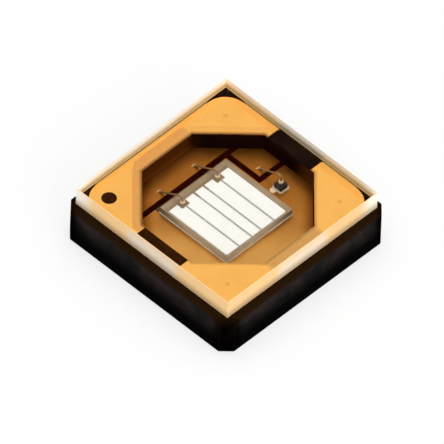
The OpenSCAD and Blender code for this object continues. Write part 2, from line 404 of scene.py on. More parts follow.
class NodeBench:
    """Adds nodes to one tree, with their inputs set or linked in the same call."""

    def __init__(self, tree: bpy.types.NodeTree) -> None:
        """Keeps the tree."""
        self.tree = tree

    def add(self, kind: str, inputs: dict | None = None, **settings: object) -> bpy.types.Node:
        """Adds a node.

        Args:
            kind: Blender's name for the type of node, without ShaderNode.
            inputs: for an input's name or number, a value, a colour or the output socket to link.
            settings: the node's own properties.

        Returns:
            The node.
        """
        node = self.tree.nodes.new("ShaderNode" + kind)
        for name, value in settings.items():
            setattr(node, name, value)
        for key, value in (inputs or {}).items():
            socket = node.inputs[key]
            if isinstance(value, Socket):
                self.tree.links.new(value, socket)
            else:
                socket.default_value = (*value, 1.0) if socket.type == "RGBA" else value
        return node

    def math(self, operation: str, *values: Value) -> Socket:
        """Adds a Math node on one to three values and gives its result."""
        return self.add("Math", dict(enumerate(values)), operation=operation).outputs[0]

    def size(self, value: Value) -> Socket:
        """Gives a value without its sign."""
        return self.math("ABSOLUTE", value)

    def product(self, *values: Value) -> Socket:
        """Multiplies values or masks with each other."""
        return reduce(lambda first, second: self.math("MULTIPLY", first, second), values)

    def most(self, *values: Value) -> Socket:
        """Gives the largest of some values."""
        return reduce(lambda first, second: self.math("MAXIMUM", first, second), values)

    def away(self, x: Value, y: Value, middle: Pair) -> Socket:
        """Gives how far x and y lie from a middle."""
        off = (self.math("POWER", self.math("SUBTRACT", v, m), 2.0) for v, m in zip((x, y), middle))
        return self.math("SQRT", self.math("ADD", *off))

    def blend(self, mask: Value, first: Value, second: Value) -> Socket:
        """Gives a colour that goes from the first to the second as the mask goes from 0 to 1."""
        return self.add("Mix", {0: mask, 6: first, 7: second}, data_type="RGBA").outputs[2]

    def spread(
        self, value: Value, low: float, high: float, at_low: Value = 0.0, at_high: Value = 1.0
    ) -> Socket:
        """Takes a value from the range low to high smoothly to the range at_low to at_high."""
        ends = {0: value, 1: low, 2: high, 3: at_low, 4: at_high}
        return self.add("MapRange", ends, interpolation_type="SMOOTHSTEP").outputs[0]

    def noise(self, place: Value, scale: Value, detail: float = 2.0, rough: float = 0.5) -> Socket:
        """Gives a cloud value from 0 to 1 at a place."""
        ends = {"Vector": place, "Scale": scale, "Detail": detail, "Roughness": rough}
        return self.add("TexNoise", ends).outputs[0]

    def wander(self, place: Value, scale: float, reach: float) -> Socket:
        """Gives a cloud value from -reach to reach at a place."""
        return self.math("MULTIPLY_ADD", self.noise(place, scale), 2.0 * reach, -reach)

    def times(self, vector: Value, factor: Value) -> Socket:
        """Multiplies a colour or a place by a number, or part by part by another colour or place."""
        factor = (factor,) * 3 if isinstance(factor, float) else factor
        return self.add("VectorMath", {0: vector, 1: factor}, operation="MULTIPLY").outputs[0]

    def axes(self, place: Socket) -> list[Socket]:
        """Splits a place into its x, y and z."""
        return list(self.add("SeparateXYZ", {0: place}).outputs)


class GroupBench(NodeBench):
    """Adds nodes to a shared node group, which it starts."""

    def __init__(self, name: str, takes: dict[str, str], gives: dict[str, str]) -> None:
        """Starts the group.

        Args:
            name: the group's name.
            takes: its inputs, name to socket type without NodeSocket.
            gives: its outputs, in the same way.
        """
        super().__init__(bpy.data.node_groups.new(name, "ShaderNodeTree"))
        for in_out, sockets in (("INPUT", takes), ("OUTPUT", gives)):
            for socket, kind in sockets.items():
                self.tree.interface.new_socket(socket, in_out=in_out, socket_type="NodeSocket" + kind)
        self.given = list(self.tree.nodes.new("NodeGroupInput").outputs)[: len(takes)]
        self.leave = self.tree.nodes.new("NodeGroupOutput").inputs

    def give(self, **results: Socket) -> bpy.types.NodeTree:
        """Feeds the group's outputs.

        Args:
            results: the socket that feeds each output.

        Returns:
            The finished group.
        """
        for name, socket in results.items():
            self.tree.links.new(socket, self.leave[name])
        return self.tree


@cache
def tone_patches() -> bpy.types.NodeTree:
    """Makes the shared effect of soft patches of a pale and a deep tone, as plating and firing leave them.

    Returns:
        The group.
    """
    takes = {"Place": "Vector", "Patches per mm": "Float", "Pale": "Color", "Deep": "Color"}
    bench = GroupBench("tone_patches", takes, {"Color": "Color"})
    place, per_mm, pale, deep = bench.given
    mask = bench.spread(bench.noise(place, per_mm, detail=4.0, rough=0.6), 0.36, 0.66)
    return bench.give(Color=bench.blend(mask, pale, deep))


@cache
def fine_grain() -> bpy.types.NodeTree:
    """Makes the shared effect of a fine grain: a roughness between two limits and the height of the grains.

    Returns:
        The group.
    """
    takes = {"Place": "Vector", "Grains per mm": "Float", "Smooth": "Float", "Rough": "Float"}
    bench = GroupBench("fine_grain", takes, {"Roughness": "Float", "Height": "Float"})
    place, per_mm, smooth, rough = bench.given
    fine = bench.noise(place, per_mm, detail=3.0, rough=0.65)
    broad = bench.noise(place, bench.product(per_mm, 0.08))
    both = bench.math("MULTIPLY_ADD", fine, 0.5, bench.product(broad, 0.5))
    return bench.give(Roughness=bench.spread(both, 0.35, 0.65, smooth, rough), Height=fine)


@cache
def saw_marks() -> bpy.types.NodeTree:
    """Makes the shared effect of level scratches that a saw or a grinding wheel leaves on an upright face.

    Returns:
        The group.
    """
    takes = {"Place": "Vector", "Lines per mm": "Float"}
    bench = GroupBench("saw_marks", takes, {"Height": "Float", "Mask": "Float"})
    place, per_mm = bench.given
    lines = bench.noise(bench.times(place, (0.06, 0.06, 1.0)), per_mm, detail=3.0, rough=0.7)
    return bench.give(Height=lines, Mask=bench.spread(lines, 0.42, 0.6))


@cache
def edge_wear() -> bpy.types.NodeTree:
    """Makes the shared effect of broken-up wear along the edges that a piece's own edge attribute marks.

    Returns:
        The group.
    """
    takes = {"Place": "Vector", "Edge": "Float", "Chips per mm": "Float"}
    bench = GroupBench("edge_wear", takes, {"Mask": "Float"})
    place, edge, per_mm = bench.given
    chips = bench.noise(place, per_mm, detail=3.0, rough=0.6)
    return bench.give(Mask=bench.spread(bench.product(edge, bench.product(chips, 1.7)), 0.45, 0.9))


class MaterialBench(NodeBench):
    """Adds nodes to a material, with the shared effects at hand."""

    def place(self) -> Socket:
        """Gives the object coordinates in millimetres."""
        return self.times(self.add("TexCoord").outputs["Object"], 1.0 / MILLIMETRE)

    def edge(self) -> Socket:
        """Gives the mark of the piece's edges."""
        return self.add("Attribute", attribute_name=EDGE_NAME).outputs["Fac"]

    def patches(self, place: Socket, per_mm: float, pale: Colour, deep: Colour) -> Socket:
        """Gives the colour of soft patches of two tones."""
        ends = {"Place": place, "Patches per mm": per_mm, "Pale": pale, "Deep": deep}
        return self.add("Group", ends, node_tree=tone_patches()).outputs[0]

    def grain(self, place: Socket, per_mm: float, smooth: float, rough: float) -> list[Socket]:
        """Gives the roughness and the height of a fine grain."""
        ends = {"Place": place, "Grains per mm": per_mm, "Smooth": smooth, "Rough": rough}
        return list(self.add("Group", ends, node_tree=fine_grain()).outputs)

    def saw(self, place: Socket, per_mm: float) -> list[Socket]:
        """Gives the height and the mask of saw marks."""
        return list(self.add("Group", {0: place, 1: per_mm}, node_tree=saw_marks()).outputs)

    def wear(self, place: Socket, per_mm: float) -> Socket:
        """Gives the mask of worn edges."""
        return self.add("Group", {0: place, 1: self.edge(), 2: per_mm}, node_tree=edge_wear()).outputs[0]

    def bump(self, height: Socket, depth: float) -> Socket:
        """Gives the normal of a surface raised by a height from 0 to 1, times a depth in millimetres."""
        ends = {"Strength": 1.0, "Distance": depth * MILLIMETRE, "Height": height}
        return self.add("Bump", ends).outputs[0]

    def principled(self, inputs: dict[str, Value]) -> Socket:
        """Gives the shader of a Principled node."""
        return self.add("BsdfPrincipled", inputs).outputs[0]

    def mixed(self, mask: Socket, first: Socket, second: Socket) -> Socket:
        """Gives a shader that goes from the first to the second as the mask goes from 0 to 1."""
        return self.add("MixShader", {0: mask, 1: first, 2: second}).outputs[0]


# Finishes


@dataclass(frozen=True)
class Finish:
    """A material in the making. Its nodes are added by shader, which each finish has of its own.

    Attributes:
        name: the material's name.
    """

    name: str

    def material(self) -> bpy.types.Material:
        """Gives the material, which is made on the first call.

        Returns:
            The material.
        """
        known = bpy.data.materials.get(self.name)
        if known:
            return known
        made = bpy.data.materials.new(self.name)
        made.use_nodes = True
        made.node_tree.nodes.clear()
        bench = MaterialBench(made.node_tree)
        bench.add("OutputMaterial", {"Surface": self.shader(bench, bench.place())})
        LOG.info("finish %s", self.name)
        return made

    def shader(self, bench: MaterialBench, place: Socket) -> Socket:
        """Adds this finish's nodes and gives the shader."""
        raise NotImplementedError


@dataclass(frozen=True)
class FiredCeramic(Finish):
    """Black fired ceramic: a sintered grain, a firing gloss that fades towards the foot, pale worn edges.

    Attributes:
        pale: tone of the upper sides, lighter by painted reflection of the lit floor.
        deep: tone of the foot, darker by painted shade.
        worn: tone of worn edges.
        bare: tone of the rim under the window, which the seal has stained and dulled; its orange is partly
            painted gold light from the plating around it.
        rear_shadow: the same at the rear, darkened by painted shadow.
        ledge: tone of the rim outside the window, its brown tint a painted reflection of the gold.
        seam: tone of the strip between the gold's edge and the window's at -X and +Y, which the seal fills.
        corner: share of each colour that is left at the cut corners.
        wall: tone of the cavity's walls, brown with painted light that the gold throws on the black ceramic.
        foot: tone of their feet, which the floor's gold lights.
        shade: tone of the walls at the +Y end, up to where they turn to +X.
        groove: tone of the floor between the pads.
        gloss: weight of the firing gloss.
        patchy: share of the patches in the tone of the upper sides.
        rise_z: heights between which gloss, patches and the painted reflection set in.
        rim_z: heights between which a side turns into the rim.
        foot_z: heights between which a wall's foot ends.
        groove_z: heights between which the floor turns into a wall.
        shade_x: where the shade ends along x.
        shade_share: how much of it there is before and after that.
        shade_y: where it sets in along y.
        rear_y: where the rim's bare tone turns into the painted rear shadow.
        ledge_at: where the ledge starts, from the body's middle.
        seam_at: where the seam starts.
        seam_to: where it ends.
        seam_end: where it fades out towards the corners.
        cut_at: sum of x and y where the cut corners start.
        cavity_to: how far the cavity reaches from the body's middle.
        cavity_z: height over which it is looked for.
    """

    pale: Colour = (0.023, 0.0138, 0.0121)
    deep: Colour = (0.0021, 0.002, 0.002)
    worn: Colour = (0.0125, 0.0078, 0.0064)
    bare: Colour = (0.033, 0.0085, 0.001)
    rear_shadow: Colour = (0.0105, 0.0038, 0.0034)
    ledge: Colour = (0.021, 0.0095, 0.0032)
    seam: Colour = (0.8, 0.44, 0.125)
    corner: Colour = (0.45, 0.36, 0.32)
    wall: Colour = (0.095, 0.023, 0.0026)
    foot: Colour = (0.16, 0.048, 0.0065)
    shade: Colour = (0.0125, 0.0032, 0.002)
    groove: Colour = (0.028, 0.0024, 0.0009)
    gloss: float = 0.09
    patchy: float = 0.85
    rise_z: Pair = (0.2, 0.62)
    rim_z: Pair = (0.658, 0.668)
    foot_z: Pair = (0.37, 0.5)
    groove_z: Pair = (CAVITY.floor + 0.004, CAVITY.floor + 0.02)
    shade_x: Pair = (0.1, 0.45)
    shade_share: Pair = (1.0, 0.1)
    shade_y: Pair = (0.4, 0.7)
    rear_y: Pair = (-0.5, 0.5)
    ledge_at: Pair = (1.56, 1.63)
    seam_at: Pair = (1.57, 1.576)
    seam_to: float = 1.612
    seam_end: Pair = (1.15, 1.25)
    cut_at: Pair = (3.12, 3.32)
    cavity_to: float = 1.46
    cavity_z: float = CAVITY.floor - 0.05

    def wall_tone(self, bench: MaterialBench, place: Socket) -> Socket:
        """Gives the colour of the cavity's walls and of the floor between the pads.

        Args:
            bench: the material's nodes.
            place: the place in millimetres.

        Returns:
            The colour.
        """
        x, y, z = bench.axes(place)
        # Painted light and shade: the walls' brown stands in for the gold's light, and the +Y end gets
        # painted shade.
        wall = bench.blend(bench.spread(z, *self.foot_z), self.foot, self.wall)
        shade_toward_rear = bench.math("ADD", y, bench.wander(place, scale=2.0, reach=0.1))
        shaded = bench.spread(x, *self.shade_x, *self.shade_share)
        shaded = bench.product(bench.spread(shade_toward_rear, *self.shade_y), shaded)
        wall = bench.blend(shaded, wall, self.shade)
        return bench.blend(bench.spread(z, *self.groove_z), self.groove, wall)

    def rim_tone(self, bench: MaterialBench, place: Socket) -> Socket:
        """Gives the colour of the rim, under the window and outside it.

        Args:
            bench: the material's nodes.
            place: the place in millimetres.

        Returns:
            The colour.
        """
        x, y, _ = bench.axes(place)
        off_x, off_y = bench.size(x), bench.size(y)
        from_middle = bench.most(off_x, off_y)
        # Painted light and shadow: a lit tone in front and a shaded copy of it at the rear.
        bare = bench.blend(bench.spread(y, *self.rear_y), self.bare, self.rear_shadow)
        # The ledge's brown tint is a painted reflection of the gold.
        rim = bench.blend(bench.spread(from_middle, *self.ledge_at), bare, self.ledge)
        seam = bench.product(
            bench.spread(bench.math("MINIMUM", off_x, off_y), *self.seam_end, 1.0, 0.0),
            bench.spread(from_middle, *self.seam_at),
            bench.math("LESS_THAN", from_middle, self.seam_to),
            bench.math("GREATER_THAN", off_x, SPLIT),
            bench.math("GREATER_THAN", y, x),
        )
        return bench.blend(seam, rim, self.seam)

    def shader(self, bench: MaterialBench, place: Socket) -> Socket:
        """Adds the ceramic's nodes.

        Args:
            bench: the material's nodes.
            place: the place in millimetres.

        Returns:
            The shader.
        """
        x, y, z = bench.axes(place)
        x, y = bench.size(x), bench.size(y)
        rise, top = bench.spread(z, *self.rise_z), bench.spread(z, *self.rim_z)
        near = bench.math("LESS_THAN", bench.most(x, y), self.cavity_to)
        inside = bench.product(near, bench.math("GREATER_THAN", z, self.cavity_z))
        cut = bench.spread(bench.math("ADD", x, y), *self.cut_at)
        patches = bench.patches(place, per_mm=2.5, pale=self.pale, deep=self.deep)
        # Painted reflection and shade: the tone rises from the deep foot to the paler upper sides.
        tone = bench.blend(bench.product(rise, self.patchy), self.deep, patches)
        tone = bench.blend(bench.wear(place, per_mm=26.0), tone, self.worn)
        tone = bench.blend(inside, tone, self.wall_tone(bench, place))
        tone = bench.blend(top, tone, self.rim_tone(bench, place))
        tone = bench.blend(cut, tone, bench.times(tone, self.corner))
        glossy = bench.math("SUBTRACT", 1.0, bench.most(top, inside, cut))
        rough, grains = bench.grain(place, per_mm=90.0, smooth=0.42, rough=0.62)
        parts = {
            "Base Color": tone,
            "Roughness": rough,
            "Specular IOR Level": 0.0,
            "Coat Weight": bench.product(rise, glossy, self.gloss),
            "Coat Roughness": 0.35,
            "Normal": bench.bump(grains, depth=0.0016),
        }
        return bench.principled(parts)


@dataclass(frozen=True)
class GrainedLayer(Finish):
    """A thin layer with a satin grain, in soft patches of two tones.

    Attributes:
        pale: the paler tone.
        deep: the darker tone.
        smooth: lowest roughness.
        rough: highest roughness.
        metal: 1 for bare metal, less where it is dulled or a paste.
        patches: patches to a millimetre.
        grains: grains to a millimetre.
        depth: depth of the grains.
    """

    pale: Colour
    deep: Colour
    smooth: float
    rough: float
    metal: float = 1.0
    patches: float = 6.0
    grains: float = 180.0
    depth: float = 0.0006

    def tone(self, bench: MaterialBench, place: Socket) -> Socket:
        """Gives the layer's colour at a place."""
        return bench.patches(place, self.patches, self.pale, self.deep)

    def bareness(self, bench: MaterialBench, place: Socket) -> Value:
        """Gives how metallic the layer is at a place."""
        return self.metal

    def light(self, tone: Socket) -> dict[str, Value]:
        """Gives the shader's inputs for light of the layer's own, of which a plain layer has none."""
        return {}

    def shader(self, bench: MaterialBench, place: Socket) -> Socket:
        """Adds the layer's nodes.

        Args:
            bench: the material's nodes.
            place: the place in millimetres.

        Returns:
            The shader.
        """
        tone = self.tone(bench, place)
        rough, grains = bench.grain(place, self.grains, self.smooth, self.rough)
        parts = {
            "Base Color": tone,
            "Metallic": self.bareness(bench, place),
            "Roughness": rough,
            "Normal": bench.bump(grains, self.depth),
        }
        return bench.principled(parts | self.light(tone))


@dataclass(frozen=True)
class PlatedGold(GrainedLayer):
    """Plated gold over ceramic, with broader patches and a coarser but shallower grain."""

    patches: float = 1.6
    grains: float = 140.0
    depth: float = 0.00015


@dataclass(frozen=True)
class RimGold(PlatedGold):
    """The rim's plating, duller in a band along the edge of the cavity.

    The band follows the two straight runs and the marked corner, and is faint at the corner behind that.

    Attributes:
        dull: tone of the band.
        greyer: the same at +X.
        band: its width.
        crisp: share of the width after which it fades out.
        wider: how much wider it is on the straight runs.
        share: how much of the dull tone the band takes.
        faint: the same at the corner behind the mark.
        corner_at: where a corner's band ends along x and y.
        run_y: where a straight run ends along y.
        side_x: where the tones of -X turn into those of +X.
        lip: tone at the very edge of the cavity.
        lip_w: width over which that fades out.
        lip_share: how much of it the edge takes at -X and at +X.
        dimple: tone of the dimples.
        dimple_r: radii between which that fades out.
        dimple_share: how much of it a dimple takes.
    """

    dull: Colour = (0.745, 0.345, 0.094)
    greyer: Colour = (0.62, 0.325, 0.1)
    band: float = 0.165
    crisp: float = 0.85
    wider: float = 0.07
    share: float = 0.9
    faint: float = 0.3
    corner_at: Pair = (-0.1, 0.1)
    run_y: Pair = (0.48, 0.6)
    side_x: Pair = (-0.5, 0.5)
    lip: Colour = (0.17, 0.075, 0.022)
    lip_w: float = 0.065
    lip_share: Pair = (0.85, 0.45)
    dimple: Colour = (0.78, 0.3, 0.066)
    dimple_r: Pair = (0.015, 0.055)
    dimple_share: float = 0.55

    def tone(self, bench: MaterialBench, place: Socket) -> Socket:
        """Gives the plating's colour, from how far a place lies outside the nearest of the cavity's edges.

        Args:
            bench: the material's nodes.
            place: the place in millimetres.

        Returns:
            The colour.
        """
        x, y, _ = bench.axes(place)
        ends = bench.spread(x, *self.corner_at, 1.0, 0.0), bench.spread(y, *self.corner_at, 1.0, self.faint)
        dull = bench.blend(bench.spread(x, *self.side_x), self.dull, self.greyer)
        thin = bench.spread(x, *self.side_x, *self.lip_share)
        from_dimple = bench.away(bench.size(x), bench.size(y), (DIMPLE_AT, DIMPLE_AT))
        spot = bench.spread(from_dimple, *self.dimple_r, self.dimple_share, 0.0)
        tone = bench.blend(spot, super().tone(bench, place), self.dimple)
        x, y = bench.size(x), bench.size(bench.math("SUBTRACT", y, CAVITY.middle))
        run = bench.spread(y, *self.run_y, 1.0, 0.0)
        past = bench.math("SUBTRACT", bench.math("ADD", x, y), CAVITY.reach)
        straight = (bench.math("SUBTRACT", v, h) for v, h in zip((x, y), CAVITY.half))
        out = bench.most(bench.product(past, math.sqrt(0.5)), *straight)
        lip = bench.product(thin, bench.spread(out, 0.0, self.lip_w, 1.0, 0.0))
        out = bench.math("MULTIPLY_ADD", run, -self.wider, out)
        out = bench.math("ADD", out, bench.wander(place, scale=3.0, reach=0.008))
        band = bench.spread(out, self.crisp * self.band, self.band, self.share, 0.0)
        tone = bench.blend(bench.product(band, bench.most(bench.product(*ends), run)), tone, dull)
        return bench.blend(lip, tone, self.lip)


@dataclass(frozen=True)
class FloorGold(PlatedGold):
    """The floor's plating: brighter in front, browner at the rear, with a bleed of paste beside the diode.

    Attributes:
        rear: tone at the rear, a painted shade.
        stops: values of y - x where the rear's tone sets in, slows down and is full.
        early: share of it at the middle stop.
        bleed: tone of the paste.
        bleed_at: middle of the bleed along x and y.
        bleed_r: its radius.
        bleed_core: share of the radius that it covers fully.
        bleed_metal: how metallic it is.
        foot: tone beside the chip's side at -X, between the chip and the groove.
        foot_x: where that lies along x.
        foot_y: how far it reaches along y.
        beside: painted shade beside the two slanted walls where x and y have one sign.
        beside_w: width over which that sets in.
    """

    rear: Colour = (0.365, 0.125, 0.0155)
    stops: tuple[float, float, float] = (-1.15, -0.25, 0.8)
    early: float = 0.75
    bleed: Colour = (0.9, 0.66, 0.42)
    bleed_at: Pair = (0.165, 0.845)
    bleed_r: float = 0.062
    bleed_core: float = 0.7
    bleed_metal: float = 0.1
    foot: Colour = (0.1, 0.05, 0.026)
    foot_x: Pair = (-0.8, -0.72)
    foot_y: float = 0.73
    beside: Colour = (0.24, 0.062, 0.004)
    beside_w: float = 0.32

    def bled(self, bench: MaterialBench, place: Socket) -> Socket:
        """Gives the mask of the bleed, a spot with a ragged edge.

        Args:
            bench: the material's nodes.
            place: the place in millimetres.

        Returns:
            The mask.
        """
        x, y, _ = bench.axes(place)
        away = bench.away(x, y, self.bleed_at)
        away = bench.math("ADD", away, bench.wander(place, scale=22.0, reach=0.015))
        return bench.spread(away, self.bleed_core * self.bleed_r, self.bleed_r, 1.0, 0.0)

    def bareness(self, bench: MaterialBench, place: Socket) -> Value:
        """Gives how metallic the plating is, which is little where paste covers it."""
        return bench.spread(self.bled(bench, place), 0.0, 1.0, self.metal, self.bleed_metal)

    def tone(self, bench: MaterialBench, place: Socket) -> Socket:
        """Gives the plating's colour, from how far a place lies to the rear.

        Args:
            bench: the material's nodes.
            place: the place in millimetres.

        Returns:
            The colour.
        """
        x, y, _ = bench.axes(place)
        # Painted shade: the plating turns to the darker rear tone towards the rear.
        back, (front, middle, rear) = bench.math("SUBTRACT", y, x), self.stops
        slow = bench.spread(back, middle, rear, 0.0, 1.0 - self.early)
        shade_toward_rear = bench.math("ADD", bench.spread(back, front, middle, 0.0, self.early), slow)
        tone = bench.blend(shade_toward_rear, super().tone(bench, place), self.rear)
        foot = bench.product(
            bench.math("GREATER_THAN", x, self.foot_x[0]),
            bench.math("LESS_THAN", x, self.foot_x[1]),
            bench.math("LESS_THAN", bench.size(y), self.foot_y),
        )
        tone = bench.blend(foot, tone, self.foot)
        # Painted shade beside the two slanted walls where x and y have one sign.
        slant = bench.size(bench.math("ADD", x, bench.math("SUBTRACT", y, CAVITY.middle)))
        beside = bench.spread(slant, CAVITY.reach - self.beside_w, CAVITY.reach)
        tone = bench.blend(beside, tone, self.beside)
        return bench.blend(self.bled(bench, place), tone, self.bleed)


@dataclass(frozen=True)
class DrawnWire(PlatedGold):
    """Drawn gold wire: bright at the ball, with a painted highlight at the stitch and a painted dark
    reflection along the loop.

    Attributes:
        loop: tone of the loop, a painted dark reflection.
        stitch: tone of the stitch, a painted highlight.
        ball_z: heights between which a stitch's tone turns into a ball's.
    """

    loop: Colour = (0.36, 0.21, 0.08)
    stitch: Colour = (0.8, 0.48, 0.17)
    ball_z: Pair = (0.42, 0.46)

    def tone(self, bench: MaterialBench, place: Socket) -> Socket:
        """Gives the wire's colour from the mark that its pressed ends carry: a painted highlight at the
        stitch, a painted dark reflection along the loop.

        Args:
            bench: the material's nodes.
            place: the place in millimetres.

        Returns:
            The colour.
        """
        # Painted highlight at the stitch, painted dark reflection along the loop.
        high = bench.spread(bench.axes(place)[2], *self.ball_z)
        pressed = bench.blend(high, self.stitch, super().tone(bench, place))
        return bench.blend(bench.edge(), self.loop, pressed)


@dataclass(frozen=True)
class ContactMetal(GrainedLayer):
    """The chip's contact: a brown bar with pads, and paler fingers where the bright layer shines through.

    Attributes:
        finger: tone of the fingers.
        finger_x: where the pads end and the fingers start.
    """

    finger: Colour = (0.46, 0.44, 0.39)
    finger_x: Pair = (-0.455, -0.425)

    def tone(self, bench: MaterialBench, place: Socket) -> Socket:
        """Gives the contact's colour, which changes where the fingers start."""
        along = bench.spread(bench.axes(place)[0], *self.finger_x)
        return bench.blend(along, super().tone(bench, place), self.finger)


@dataclass(frozen=True)
class RoughEmitter(GrainedLayer):
    """The chip's light layer: finely roughened and very bright.

    Attributes:
        shine: strength of a painted glow that it gives off on top of its own tone.
    """

    patches: float = 9.0
    grains: float = 220.0
    depth: float = 0.0008
    shine: float = 0.05

    def light(self, tone: Socket) -> dict[str, Value]:
        """Gives the shader's inputs for the layer's painted glow."""
        # Painted glow: the layer gives off light though it is no lamp.
        return {"Emission Color": tone, "Emission Strength": self.shine}


@dataclass(frozen=True)
class SawnDie(Finish):
    """A sawn chip: scratched sides and a smooth top.

    Attributes:
        pale: the paler tone of the top.
        deep: the darker tone of the top.
        side: tone of the sides.
        marks: tone of their saw marks.
        ends: tone of the sides towards the corners where x and y have one sign, a painted shadow.
        top_z: heights between which the sides turn into the smooth top.
        ends_at: sum of x and y where that tone sets in and is full.
        ends_share: how much of it the corners take.
        side_rough: lowest roughness of the sides.
    """

    pale: Colour = (0.38, 0.255, 0.14)
    deep: Colour = (0.31, 0.205, 0.105)
    side: Colour = (0.87, 0.75, 0.57)
    marks: Colour = (0.77, 0.65, 0.47)
    ends: Colour = (0.16, 0.13, 0.075)
    top_z: Pair = (0.49, 0.494)
    ends_at: Pair = (0.8, 1.42)
    ends_share: float = 0.85
    side_rough: float = 0.55

    def shader(self, bench: MaterialBench, place: Socket) -> Socket:
        """Adds the die's nodes.

        Args:
            bench: the material's nodes.
            place: the place in millimetres.

        Returns:
            The shader.
        """
        x, y, z = bench.axes(place)
        upper = bench.spread(z, *self.top_z)
        scratches, marked = bench.saw(place, per_mm=90.0)
        # Painted shadow: the sides darken towards the corners where x and y have one sign.
        along = bench.spread(bench.size(bench.math("ADD", x, y)), *self.ends_at, 0.0, self.ends_share)
        side = bench.blend(along, bench.blend(marked, self.side, self.marks), self.ends)
        top = bench.patches(place, per_mm=5.0, pale=self.pale, deep=self.deep)
        rough, _ = bench.grain(place, per_mm=160.0, smooth=0.3, rough=0.45)
        parts = {
            "Base Color": bench.blend(upper, side, top),
            "Roughness": bench.most(rough, bench.spread(upper, 0.0, 1.0, self.side_rough, 0.0)),
            "Normal": bench.bump(scratches, depth=0.0012),
        }
        return bench.principled(parts)


@dataclass(frozen=True)
class PolishedGlass(Finish):
    """The window's polished faces, coated against reflection, with hardly visible clouds.

    Attributes:
        clear: tint of clear spots.
        cloudy: tint of clouds.
    """

    clear: Colour = WHITE
    cloudy: Colour = (0.99, 0.988, 0.98)

    def shader(self, bench: MaterialBench, place: Socket) -> Socket:
        """Adds the nodes. Rays from the lamps pass straight through, so that the chip underneath is lit.

        Args:
            bench: the material's nodes.
            place: the place in millimetres.

        Returns:
            The shader.
        """
        tint = bench.blend(bench.noise(place, scale=1.2), self.clear, self.cloudy)
        glass = bench.add("BsdfRefraction", {"Color": tint, "Roughness": 0.0, "IOR": GLASS_INDEX}).outputs[0]
        from_lamp = bench.add("LightPath").outputs["Is Shadow Ray"]
        return bench.mixed(from_lamp, glass, bench.add("BsdfTransparent").outputs[0])


